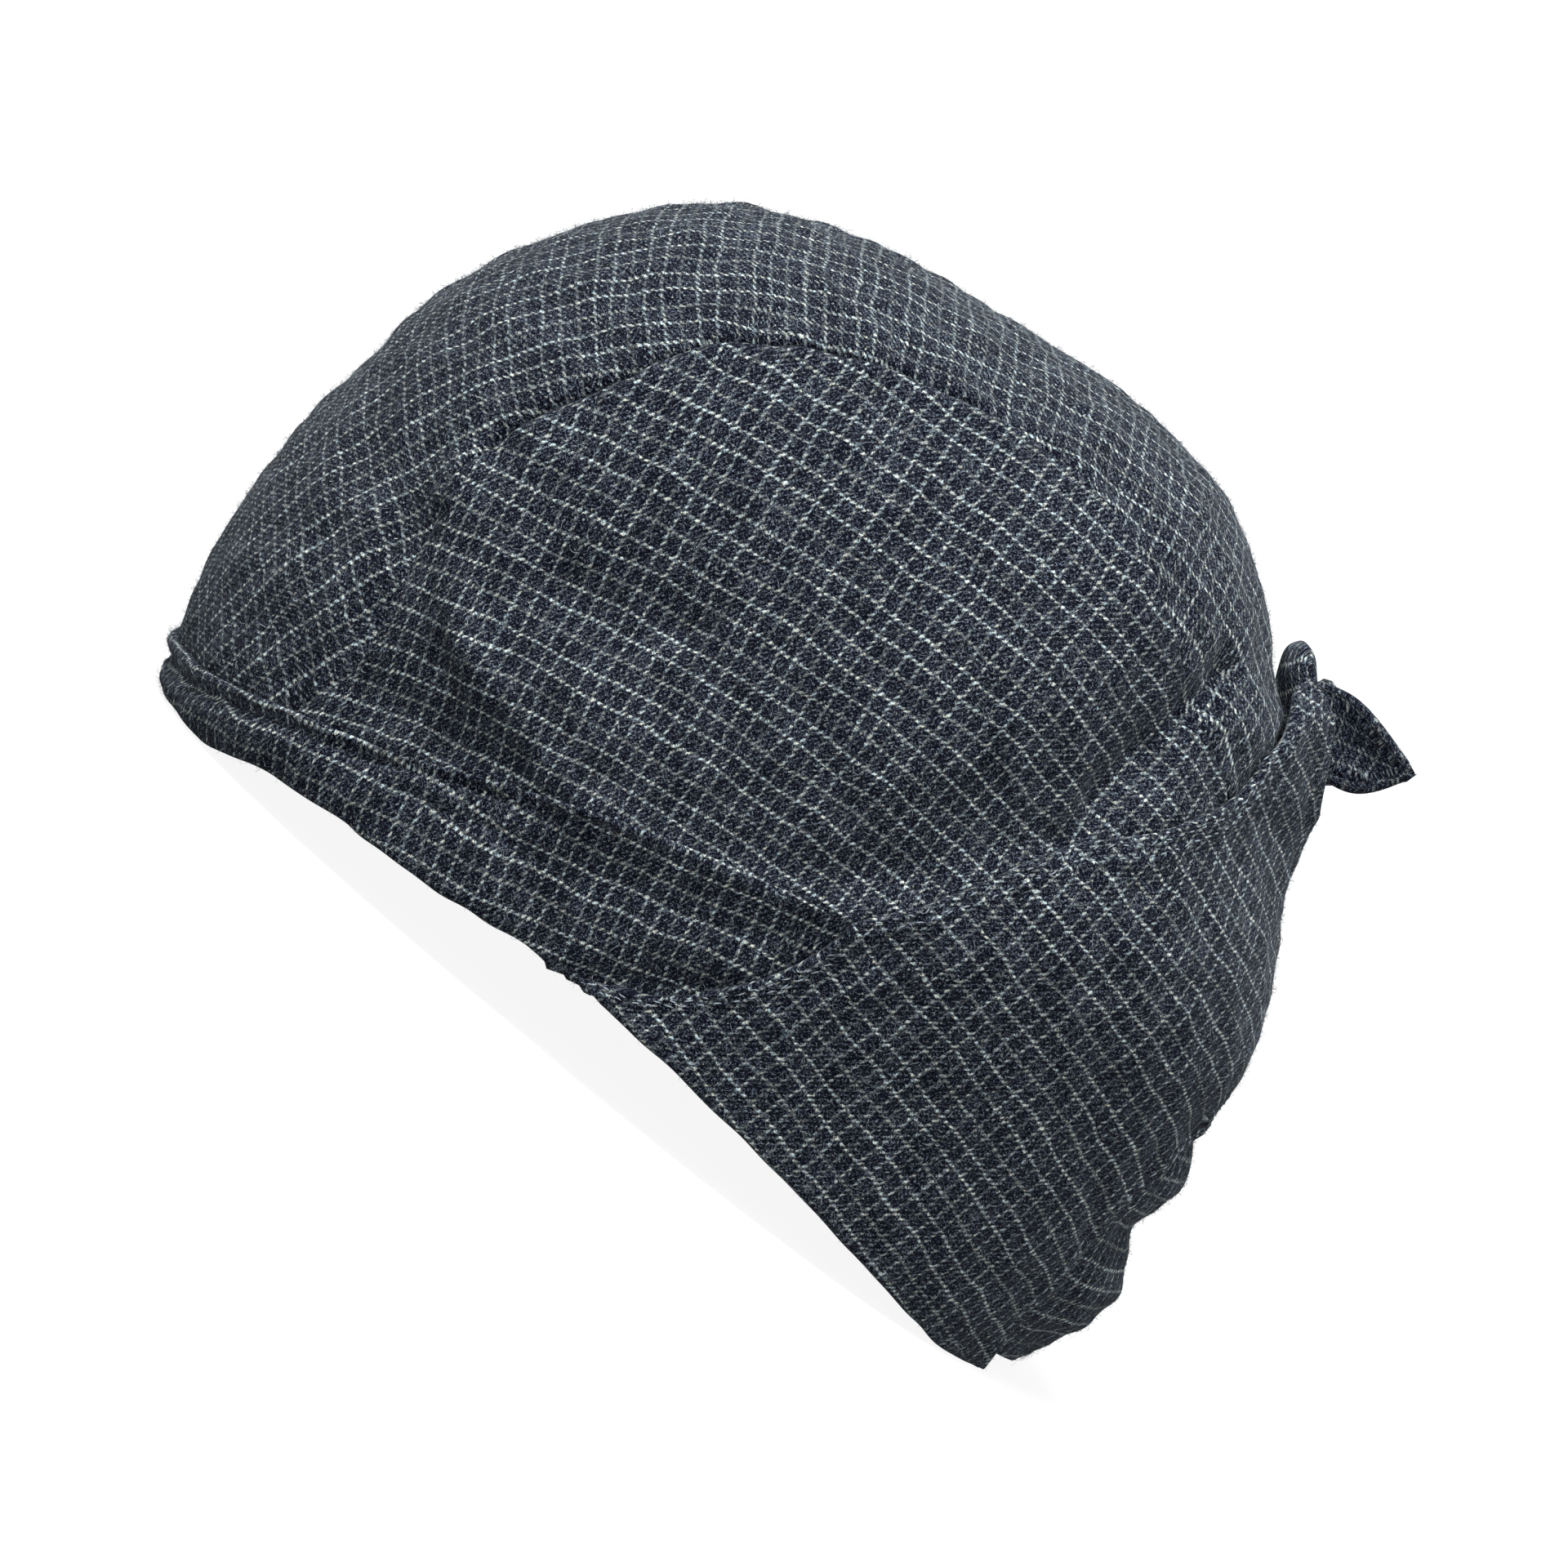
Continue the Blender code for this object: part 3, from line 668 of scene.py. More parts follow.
def bent(bend, middle):
    """A grain that curves along a panel, mirrored at the panel's middle line.

    bend is the turn in radians for each metre, and middle the distance from that line at
    which the cloth keeps its length.
    """

    def grain(flat):
        turn = bend * flat[..., 0]
        radius = 1 / bend + middle - np.abs(flat[..., 1])
        return np.stack((radius * np.sin(turn), 1 / bend - radius * np.cos(turn)), axis=-1)

    return grain


def cloth_piece(name, place, squares, relief, wall=CLOTH, roundness=None, grain=None, curled=False):
    """One piece of cloth: laid on the shell, given its relief, thickness and grain.

    grain() turns or bends the flat cloth under the check. A curled piece faces many ways.
    """
    points = grid_points(place, squares)
    points = points + grid_normals(points) * relief(edge_distances(points))[..., None]
    flat = flattened(place, squares, curled)
    if grain is not None:
        flat = grain(flat)
    SHEETS[name] = rest_on_floor(points.copy())
    return closed_sheet(name, points, wall, roundness or {}, flat)


SEAM_ROLL = 0.00075
SEAM_ROLL_WIDTH = 0.00055
SEAM_RIDGE = 0.00030
SEAM_RIDGE_PLACE = 0.0026
SEAM_RIDGE_WIDTH = 0.0016
SEAM_EDGE_ROUND = 0.50
SEAM_CLEAR = (0.20, 0.63)
SEAM_FADES = (0.08, 0.12)
SEAM_PRESSED = 0.14


def seam_roll(distance, along):
    """How a sewn edge dips into its seam, with the soft ridge of the allowance beside it.

    The seam is clear over the top of the crown and pressed flat towards both of its ends.
    """
    clear = fade(along - SEAM_CLEAR[0], SEAM_FADES[0]) * fade(SEAM_CLEAR[1] - along, SEAM_FADES[1])
    dip = -SEAM_ROLL * bump(distance, 0, SEAM_ROLL_WIDTH)
    ridge = SEAM_RIDGE * bump(distance, SEAM_RIDGE_PLACE, SEAM_RIDGE_WIDTH)
    return (dip + ridge) * (SEAM_PRESSED + (1 - SEAM_PRESSED) * clear)


HEM_WIDTH = 0.0044
HEM_FADE = 0.35 * HEM_WIDTH
HEM_PROUD = 0.00055
HEM_VALLEY = 0.00050
HEM_VALLEY_PLACE = 0.0019
HEM_VALLEY_WIDTH = 0.0008
STITCH_ROWS = (0.0007, 0.0032)


def hem_relief(distance):
    """A turned and stitched edge: proud of the cloth, with a valley between two soft ridges."""
    proud = HEM_PROUD * fade(HEM_WIDTH - distance, HEM_FADE)
    return proud - HEM_VALLEY * bump(distance, HEM_VALLEY_PLACE, HEM_VALLEY_WIDTH)


MIDDLE_SEAM_DEPTH = 0.00045
MIDDLE_SEAM_WIDTH = 0.0009
CENTER_SQUARES = (220, 92)
CROWN_BEND = 4.0
CROWN_BEND_MIDDLE = 0.030


def make_center_panel():
    """The front-to-back panel between the two side seams."""
    seam = curve(SEAM)
    front = across_line(curve_through(CROWN_FOOT, 0, SEAM_FOOT))
    back = across_line(curve(CROWN_HEM_BACK[::-1]))
    width = line_length(front)
    length = line_length(seam)

    def place(u, v):
        u = inset(u, length, SEAM_GAP)
        v = inset(v, width, SEAM_GAP)
        return shell(patch_point(seam, mirrored_line(seam), front, back, u, v), 0.0)

    def relief(edges):
        middle = bump(np.abs(edges["low"] - edges["high"]) / 2, 0, MIDDLE_SEAM_WIDTH)
        along = edges["start"] / (edges["start"] + edges["end"])
        return seam_roll(edges["low"], along) + seam_roll(edges["high"], along) - MIDDLE_SEAM_DEPTH * middle

    ends = {"low": SEAM_EDGE_ROUND, "high": SEAM_EDGE_ROUND}
    grain = bent(CROWN_BEND, CROWN_BEND_MIDDLE)
    return cloth_piece("crown_center", place, CENTER_SQUARES, relief, CLOTH, ends, grain, curled=True)


SIDE_SQUARES = (132, 100)
SIDE_GRAIN = 20.0
SIDE_BEND = 2.2


def make_side_panel(name, side):
    """A side panel: seam above, band and wrap edge below."""
    seam = curve(SEAM)
    hem = curve_through(CROWN_FOOT, SEAM_FOOT)
    length = line_length(seam)

    def place(u, v):
        u = u if side > 0 else 1 - u
        u = inset(u, length, 4 * SEAM_GAP)
        low = shell_base(hem(u))
        high = shell_base(seam(u))
        v = inset(v, np.linalg.norm(high - low, axis=1), SEAM_GAP)
        points = (1 - v)[:, None] * low + v[:, None] * high
        return shell(points * (side, 1, 1), 0.0)

    def relief(edges):
        along = edges["start"] / (edges["start"] + edges["end"])
        return seam_roll(edges["high"], along if side > 0 else 1 - along)

    ends = {"high": SEAM_EDGE_ROUND}
    grain = turned(SIDE_GRAIN, side, SIDE_BEND)
    return cloth_piece(name, place, SIDE_SQUARES, relief, CLOTH, ends, grain)


BAND_SQUARES = (236, 40)
PIPING_PROUD = 0.0008
PIPING_PLACE = 0.0013
PIPING_WIDTH = 0.0019
GROOVE_DEPTH = 0.0009
GROOVE_PLACE = 0.0043
GROOVE_WIDTH = 0.0019
TUCKED_FROM = 0.045
TUCKED_SHARE = 0.3
BAND_ROLL = 0.0010
BAND_ROLL_AT_SIDE = 0.4
BAND_FRONT = 0.105
BAND_FRONT_FADE = 0.05
BAND_EDGE_ROUND = 0.5
BAND_PROUD = 0.0007
BAND_DIP = 0.0005
BAND_DIP_FROM_SHARE = 0.90


def make_front_band():
    """The folded hem from temple to temple, its two ends dipped and tucked under the wraps."""
    top_half = curve_through(CROWN_FOOT, 0, BAND_END)
    rim_half = curve(RIM_FRONT)
    end = curve(LEADING_EDGE)

    def place(u, v):
        share = np.abs(2 * u - 1)
        low = rim_half(share)
        high = top_half(share)
        bow = end(v) - (1 - v)[:, None] * end(np.zeros(1)) - v[:, None] * end(np.ones(1))
        dip = smooth_step((share - BAND_DIP_FROM_SHARE) / (1 - BAND_DIP_FROM_SHARE))
        v = v * (1 - 2 * SEAM_GAP * (1 + 2 * dip) / np.linalg.norm(high - low, axis=1))
        points = (1 - v)[:, None] * low + v[:, None] * high + smooth_step(4 * share - 3)[:, None] * bow
        points[:, 0] *= np.sign(2 * u - 1)
        return shell(points, BAND_PROUD - (BAND_PROUD + BAND_DIP) * dip)

    def relief(edges):
        height = edges["low"] + edges["high"]
        front = smooth_step((BAND_FRONT - np.abs(edges["start"] - edges["end"]) / 2) / BAND_FRONT_FADE)
        free = smooth_step(np.minimum(edges["start"], edges["end"]) / TUCKED_FROM - TUCKED_SHARE)
        piping = PIPING_PROUD * bump(edges["high"], PIPING_PLACE, PIPING_WIDTH)
        groove = -GROOVE_DEPTH * bump(edges["high"], GROOVE_PLACE, GROOVE_WIDTH)
        roll = BAND_ROLL * np.sin(np.pi * np.clip(edges["low"] / (height - GROOVE_PLACE), 0, 1))
        return free * (piping + groove) + roll * (BAND_ROLL_AT_SIDE + (1 - BAND_ROLL_AT_SIDE) * front)

    ends = {"high": BAND_EDGE_ROUND}
    return cloth_piece("front_band_cloth", place, BAND_SQUARES, relief, BAND_FOLD, ends, curled=True)


def knot_frame():
    """The knot's seat on the crown, with its directions outwards and down the back."""
    seat = shell_base(places([KNOT_SEAT]))[0]
    outward = units(seat - HEART)
    return seat, outward, np.cross(outward, ACROSS)


def knot_ring():
    """Points just clear of the knot, from below it round to its left side."""
    seat, _outward, down = knot_frame()
    turn = np.linspace(*KNOT_RING_RADIANS, 7)
    unit = np.stack((np.sin(turn), np.cos(turn)), axis=1)
    unit /= ((np.abs(unit) ** KNOT_BOXINESS).sum(axis=1) ** (1 / KNOT_BOXINESS))[:, None]
    wide = unit[:, :1] * (KNOT_WIDTH / 2 + KNOT_CLEARANCE) * ACROSS
    return seat + wide + unit[:, 1:] * (KNOT_LENGTH / 2 + KNOT_CLEARANCE) * down


WRAP_SQUARES = (112, 112)
WRAP_GRAIN = 27.0
PLEATS = 9
PLEAT_DEPTH = 0.0006
PLEAT_REACH = 0.040
PLEAT_WANDER = 0.014
PLEAT_SWAY = 1.6
BACK_HEM_SHARE = 0.7
LOW_HEM_PROUD = 0.5 * HEM_PROUD
LOW_HEM_WIDTH = 0.004
HEMS = {}


def make_wrap(name, side):
    """A wide flap from the temple to the knot, proud of the crown that it covers."""
    ring = knot_ring()
    rim = curve(RIM_BACK)
    top = curve_through(np.concatenate((places(WRAP_TOP), ring[-1:])))
    leading = curve(LEADING_EDGE)
    back = curve_through(np.concatenate((places(ARCH + BACK_LINE), ring)))
    knot, _outward, down = knot_frame()
    length = line_length(rim)

    def place(u, v):
        u = u if side > 0 else 1 - u
        u = inset(u, length, SEAM_GAP)
        points = patch_point(rim, top, leading, back, u, v)
        roll = np.sqrt(1 - (1 - np.clip((1 - v) / WRAP_ROLL_SHARE, 0, 1)) ** 2)
        base = shell_base(points)
        apart = np.linalg.norm(base - knot, axis=1)
        near = smooth_step((ROLL_ENDS - apart) / ROLL_FADE)
        lower = smooth_step(1 + ((base - knot) @ down) / UPPER_FADE)
        rise = WRAP_RISE * bump(apart, 0, WRAP_RISE_SPREAD) * np.maximum(roll, near)
        rise *= UPPER_SHARE + (1 - UPPER_SHARE) * lower
        points = shell(points * (side, 1, 1), WRAP_LIFT + rise)
        points[:, 0] = side * np.maximum(side * points[:, 0], SEAM_GAP)
        return points

    front_edge = "start" if side > 0 else "end"
    back_edge = "end" if side > 0 else "start"

    points = grid_points(place, WRAP_SQUARES)
    offset = points - knot
    fan = np.arctan2(offset[..., 2], offset[..., 0] * side)
    reach = np.linalg.norm(offset, axis=2)
    pleats = np.cos(PLEATS * fan + PLEAT_SWAY * np.sin(reach / PLEAT_WANDER)) * bump(reach, 0, PLEAT_REACH)

    def relief(edges):
        stitched = np.maximum(hem_relief(edges[front_edge]), hem_relief(edges["high"]))
        stitched += BACK_HEM_SHARE * hem_relief(edges[back_edge])
        stitched += LOW_HEM_PROUD * bump(edges["low"], 0, LOW_HEM_WIDTH)
        near_edge = np.minimum(edges["high"], edges[back_edge])
        return stitched + PLEAT_DEPTH * pleats * smooth_step(near_edge / (2 * HEM_WIDTH) - 0.2)

    piece = cloth_piece(name, place, WRAP_SQUARES, relief, grain=turned(WRAP_GRAIN, side))
    HEMS[name] = (front_edge, "high", back_edge)
    return piece


NAPE_SQUARES = (72, 96)
NAPE_FOLD_DEPTH = 0.00028
NAPE_FOLD_PITCH = 0.0085
NAPE_FOLD_WANDER = 0.009
NAPE_FOLD_SWAY = 0.35
NAPE_FOLD_START = 0.006
NAPE_FOLD_END = 0.052
NAPE_FOLD_FADE = 0.012
NAPE_FOLD_LEAST = 0.2
NAPE_FOLD_PATCH = 0.011


def make_nape_gusset():
    """The gathered piece in the arch, tucked under both wraps."""
    sides = [(row[0] + TUCK / HALF_WIDTH, row[1], row[2]) for row in ARCH[1:-1]]
    edge = curve([NAPE_HEM[-1], *sides, NAPE_TOP[-1]])
    hem = across_line(curve(NAPE_HEM))
    top = across_line(curve(NAPE_TOP))
    gathers = np.array(GATHERS) * (CROWN_HEIGHT, NAPE_FULLNESS)
    fullness = smooth_table(gathers[:, 0], gathers[:, 1])

    def place(u, v):
        points = patch_point(hem, top, edge, mirrored_line(edge), u, v)
        base = shell_base(points)
        across = np.abs(2 * u - 1) / NAPE_FREE_SHARE
        bulge = np.clip(1 - across**2, 0, 1) ** NAPE_SOFTNESS
        return shell(points, fullness(base[:, 2]) * bulge)

    def relief(edges):
        across = (edges["start"] - edges["end"]) / 2
        wave = edges["low"] / NAPE_FOLD_PITCH + NAPE_FOLD_SWAY * np.sin(across / NAPE_FOLD_WANDER)
        shown = smooth_step(edges["low"] / NAPE_FOLD_START)
        shown *= smooth_step((NAPE_FOLD_END - edges["low"]) / NAPE_FOLD_FADE)
        patchy = (1 + NAPE_FOLD_LEAST + (1 - NAPE_FOLD_LEAST) * np.cos(across / NAPE_FOLD_PATCH)) / 2
        return NAPE_FOLD_DEPTH * shown * patchy * np.sin(2 * np.pi * wave)

    return cloth_piece("nape_cloth", place, NAPE_SQUARES, relief)


# Creases across the knot. Columns: place along it from -1 to 1, depth as a share of its own.
KNOT_CREASES = [(-0.45, 0.14), (-0.02, 0.22), (0.45, 0.16)]
KNOT_CREASE_WIDTH = 0.16
KNOT_CREASE_LEAN = 0.3
KNOT_SQUARES = (72, 40)


def make_knot():
    """The tied knot: a soft, creased pad between the wraps' ends."""
    seat, _outward, down = knot_frame()
    columns, rows = KNOT_SQUARES
    turn, rise = np.meshgrid(np.linspace(0, 2 * np.pi, columns + 1)[:-1], np.linspace(-1, 1, rows + 1))
    level = np.sin(rise * np.pi / 2)
    ring = np.where(rise < 0, 1 - (-rise) ** KNOT_FLATNESS, np.cos(rise * np.pi / 2))
    unit = np.stack((ring * np.cos(turn), ring * np.sin(turn), level), axis=2)
    unit /= ((np.abs(unit) ** KNOT_BOXINESS).sum(axis=2) ** (1 / KNOT_BOXINESS))[..., None]
    x, y, z = unit[..., 0], unit[..., 1], unit[..., 2]
    crease = np.zeros_like(x)
    for place, depth in KNOT_CREASES:
        crease += depth * bump(y - KNOT_CREASE_LEAN * x, place, KNOT_CREASE_WIDTH)
    upper = np.clip(z, 0, 1)
    flat = x[..., None] * KNOT_WIDTH / 2 * ACROSS + y[..., None] * KNOT_LENGTH / 2 * down
    lift = LAYER_GAP + KNOT_DEPTH / 2 * (1 + z * (1 - crease * upper))
    points = shell((seat + flat).reshape(-1, 3), lift.ravel())
    cloth = np.stack((x * KNOT_WIDTH / 2 + z * KNOT_DEPTH, y * KNOT_LENGTH / 2), axis=2).reshape(-1, 2)
    corner = np.arange((rows + 1) * columns).reshape(rows + 1, columns)
    after = np.roll(corner, -1, axis=1)
    return mesh_object("knot_cloth", points, faces_between(corner, after), cloth)


# Columns: name, side, lean down the back and turn aside in radians
TAILS = [("left_tail_cloth", 1, 0.62, 0.10), ("right_tail_cloth", -1, 0.95, 1.10)]
TAIL_SQUARES = (40, 36)
TAIL_HEM_PROUD = 0.0005
TAIL_HEM_WIDTH = 0.0024
TAIL_HEM_FADE = 0.0008


def make_tail(name, side, lean, turn):
    """A short pointed end of cloth that stands out from the knot, leaning down and aside."""
    seat, outward, down = knot_frame()
    forth = outward * np.cos(lean) + down * np.sin(lean)
    forth = forth * np.cos(turn) + ACROSS * side * np.sin(turn)
    flat = units(np.cross(forth, down * side))
    middle = seat + ACROSS * side * (TAIL_CLOTH / 2 + LAYER_GAP)
    lift = KNOT_DEPTH + LAYER_GAP
    root = shell(middle[None], lift)[0]

    def place(u, v):
        width = TAIL_ROOT_SHARE + TAIL_BELLY_SHARE * np.sin(np.pi * u)
        width *= 1 - TAIL_TAPER_SHARE * u**TAIL_POINT
        sweep = (2 * v - 1) * TAIL_WIDTH / 2
        edge = shell(middle + sweep[:, None] * down, np.full(len(u), lift)) - root
        cup = TAIL_CLOTH * np.sin(np.pi * u) * (1 - (2 * v - 1) ** 2)
        reach = (TAIL_LENGTH * u)[:, None] * forth
        return root + edge * width[:, None] + reach + cup[:, None] * flat

    def relief(edges):
        border = np.minimum(np.minimum(edges["low"], edges["high"]), edges["end"])
        return TAIL_HEM_PROUD * (smooth_step((TAIL_HEM_WIDTH - border) / TAIL_HEM_FADE) - 0.5)

    return cloth_piece(name, place, TAIL_SQUARES, relief, wall=TAIL_CLOTH)


class Graph:
    """Short names for the nodes of one material."""

    def __init__(self, name):
        self.material = bpy.data.materials.new(name)
        self.material.use_nodes = True
        self.tree = self.material.node_tree
        self.shader = self.tree.nodes["Principled BSDF"]

    def connect(self, node, inputs):
        """Set a node's inputs to values, or link them to other nodes' outputs."""
        for key, value in inputs.items():
            if isinstance(value, bpy.types.NodeSocket):
                self.tree.links.new(value, node.inputs[key])
            else:
                node.inputs[key].default_value = value

    def shade(self, inputs):
        """Set or link the shader's own inputs, and give the material."""
        self.connect(self.shader, inputs)
        return self.material

    def node(self, kind, inputs, **settings):
        """A node of a kind with its settings, and values or links for its inputs."""
        made = self.tree.nodes.new(kind)
        for key, value in settings.items():
            setattr(made, key, value)
        self.connect(made, inputs)
        return made

    def math(self, operation, *values):
        """One sum on one to three values."""
        return self.node("ShaderNodeMath", dict(enumerate(values)), operation=operation).outputs[0]

    def plus(self, value, share, base):
        """A share of a value, added to a base."""
        return self.math("MULTIPLY_ADD", value, share, base)

    def times(self, first, *others):
        """The product of values."""
        for other in others:
            first = self.math("MULTIPLY", first, other)
        return first

    def centred(self, value):
        """A value less a half."""
        return self.math("SUBTRACT", value, 0.5)

    def off_half(self, value):
        """How far a value is from a half."""
        return self.math("ABSOLUTE", self.centred(value))

    def between(self, value, low, high):
        """Zero below low, one above high and smooth between; low may be the greater."""
        inputs = {"Value": value, "From Min": low, "From Max": high, "To Min": 0.0, "To Max": 1.0}
        return self.node("ShaderNodeMapRange", inputs, interpolation_type="SMOOTHSTEP").outputs["Result"]

    def vector(self, operation, *values, **named):
        """One sum on vectors."""
        inputs = {**dict(enumerate(values)), **named}
        return self.node("ShaderNodeVectorMath", inputs, operation=operation).outputs["Vector"]

    def noise(self, place, scale, detail=2.0, roughness=0.5, distortion=0.0, output="Fac"):
        """Cloudy noise from 0 to 1; its output Color is three such noises."""
        inputs = {"Vector": place, "Scale": scale, "Detail": detail, "Roughness": roughness}
        inputs["Distortion"] = distortion
        return self.node("ShaderNodeTexNoise", inputs, noise_dimensions="2D").outputs[output]

    def mix(self, share, first, second):
        """A colour between two colours."""
        inputs = {"Factor": share, 6: first, 7: second}
        return self.node("ShaderNodeMix", inputs, data_type="RGBA").outputs[2]


# The check and its twill, in millimetres on the flat cloth
MILLIMETRE = 0.001
LINES_ACROSS = 3.12
LINES_ALONG = 4.25
LINE_EDGE = (0.43, 0.11)
LINES_IN_CHECK = 3
WALE_PITCH = 0.99
WALE_EDGE = (0.38, 0.08)
WALE_TURN = np.radians(-50)
COMBED = (0.72, 1.25, 1.0)

# How noise moves the threads. Columns: noise scale per millimetre, detail, reach.
WANDERS = [(0.07, 1.0, 2.4), (0.9, 1.0, 0.36), (3.0, 1.5, 0.58)]

# The ground's tone: what it starts from, the share of each layer, and where it turns from
# navy to indigo and on to slate
TONE_BASE = 0.46
TONE_SHARES = {
    "tuft": 1.80,
    "crest": 0.10,
    "speck": 1.10,
    "hair": 0.17,
    "fine_hair": 0.14,
    "cloud": 0.22,
    "line": 0.10,
}
TO_INDIGO = (0.50, 0.94)
TO_SLATE = (0.74, 1.14)

# The pale threads: strength of the lines along the cloth and of each third, weak line, the most
# that two crossing lines reach, what shows under the nap, and how far weak lines turn olive
ALONG_STRENGTH = 1.40
WEAK_LINE = 0.72
MOST_PALE = 1.7
COVERED = 0.08
OLIVE_SHARE = 0.6

NAVY = (0.0036, 0.0042, 0.0088, 1)
INDIGO = (0.029, 0.034, 0.057, 1)
SLATE = (0.218, 0.271, 0.340, 1)
CREAM = (0.92, 0.95, 0.83, 1)
FROST = (0.66, 0.84, 0.90, 1)
OLIVE = (0.36, 0.39, 0.31, 1)
DARK_FIBRE = (0.012, 0.016, 0.026, 1)
PALE_FIBRE = (0.41, 0.49, 0.55, 1)
SHEEN = (0.80, 0.88, 1.0, 1)


def check_cloth(name, paleness=1.0, crossing=0.84, strays=0.42):
    """Brushed twill: navy heather with a graph check of pale flecks, two lines strong and one weak.

    crossing is the strength of the lines across the cloth, strays that of flecks off the lines.
    """
    g = Graph(name)
    cloth = g.node("ShaderNodeUVMap", {}, uv_map="cloth").outputs["UV"]
    flat = g.vector("SCALE", cloth, Scale=1 / MILLIMETRE)
    frayed = flat
    for scale, detail, reach in WANDERS:
        noise = g.noise(flat, scale, detail, output="Color")
        frayed = g.vector("MULTIPLY_ADD", noise, (reach, reach, 0.0), frayed)
    axes = g.node("ShaderNodeSeparateXYZ", {0: frayed})

    def lines(axis, pitch):
        """How much a place lies on a line, the same with weak lines weaker, and how much on a weak one."""
        count = g.math("DIVIDE", axes.outputs[axis], pitch)
        on_line = g.between(g.off_half(g.math("FRACT", count)), LINE_EDGE[0] / pitch, LINE_EDGE[1] / pitch)
        which = g.math("FLOORED_MODULO", g.math("FLOOR", count), LINES_IN_CHECK)
        weak = g.math("GREATER_THAN", which, LINES_IN_CHECK - 1.5)
        return on_line, g.times(on_line, g.plus(weak, WEAK_LINE - 1, 1.0)), g.times(weak, on_line)

    across, across_share, across_weak = lines(0, LINES_ACROSS)
    along, along_share, along_weak = lines(1, LINES_ALONG)
    leaning = g.node("ShaderNodeMapping", {"Vector": frayed, "Rotation": (0, 0, WALE_TURN)}).outputs[0]
    wale = g.math("DIVIDE", g.node("ShaderNodeSeparateXYZ", {0: leaning}).outputs[1], WALE_PITCH)
    crest = g.between(g.off_half(g.math("FRACT", wale)), *WALE_EDGE)
    combed = g.vector("MULTIPLY", leaning, COMBED)
    tuft = g.noise(combed, 2.7, roughness=0.70)
    speck = g.noise(flat, 3.0, detail=1.5, roughness=0.7)
    cloud = g.noise(flat, 0.11, detail=3.0)
    hair = g.between(g.off_half(g.noise(flat, 1.25, distortion=1.1)), 0.055, 0.006)
    layers = {
        "tuft": g.centred(tuft),
        "crest": crest,
        "speck": g.centred(speck),
        "hair": hair,
        "fine_hair": g.between(g.off_half(g.noise(flat, 2.6, detail=1.0, distortion=0.9)), 0.080, 0.012),
        "cloud": g.centred(cloud),
        "line": g.math("MINIMUM", g.math("ADD", across, along), 1.0),
    }
    tone = TONE_BASE
    for layer, share in TONE_SHARES.items():
        tone = g.plus(layers[layer], share, tone)
    ground = g.mix(g.between(tone, *TO_INDIGO), NAVY, INDIGO)
    ground = g.mix(g.between(tone, *TO_SLATE), ground, SLATE)

    worn = g.times(
        g.between(g.noise(combed, 1.6, roughness=0.6), 0.38, 0.54),
        g.between(g.noise(flat, 1.2), 0.30, 0.50),
        g.plus(g.between(cloud, 0.30, 0.62), 0.30, 0.75),
    )
    shown = g.times(g.plus(crest, 1 - COVERED, COVERED), g.plus(worn, 1 - COVERED, COVERED))
    crossed = g.plus(along_share, ALONG_STRENGTH, g.times(across_share, crossing))
    pale = g.times(g.math("MINIMUM", crossed, MOST_PALE), shown, g.between(speck, 0.26, 0.50))
    stray = g.times(g.between(g.noise(combed, 2.1, detail=1.0), 0.64, 0.76), crest)
    pale = g.times(g.math("MINIMUM", g.plus(stray, strays, pale), 1.0), paleness)
    thread = g.mix(g.between(g.noise(flat, 1.1, detail=1.0), 0.3, 0.7), FROST, CREAM)
    thread = g.mix(g.times(g.math("MAXIMUM", along_weak, across_weak), OLIVE_SHARE), thread, OLIVE)

    height = g.plus(crest, 0.5, g.times(tuft, 0.9))
    height = g.plus(hair, 0.30, g.plus(speck, 0.60, height))
    bumped = g.node("ShaderNodeBump", {"Height": height, "Strength": 0.7, "Distance": 0.00025})
    return g.shade({
        "Base Color": g.mix(pale, ground, thread),
        "Normal": bumped.outputs["Normal"],
        "Roughness": 0.95,
        "Specular IOR Level": 0.02,
        "Sheen Weight": 0.12,
        "Sheen Roughness": 0.22,
        "Sheen Tint": SHEEN,
    })


def fibre_cloth():
    """Loose wool fibres, from navy to pale grey."""
    g = Graph("loose_fibres")
    tone = g.node("ShaderNodeAttribute", {}, attribute_name="tone").outputs["Fac"]
    color = g.mix(g.math("POWER", tone, 2.2), DARK_FIBRE, PALE_FIBRE)
    return g.shade({"Base Color": color, "Roughness": 0.8, "Specular IOR Level": 0.3})


FIBRE_POINTS = 4
FIBRE_LENGTH = (0.0007, 0.0022)
FIBRE_LIFT = (0.00005, 0.00045)
FIBRE_HALF_WIDTH = (0.000022, 0.000045)
FIBRES_PER_MM2 = 0.66
EDGE_EXTRA = 3.5
SEAM_EXTRA = -0.8
EDGE_REACH = 0.0012
STANDING_SHARE = 0.50
STANDING_LIFT = 2.6
FIBRE_CURL = 1.5
FIBRE_ROLL = 1.2
OPEN_END_SHARE = 0.35
FIBRE_TAPER = 0.6
FIBRE_CLEAR = 0.00002


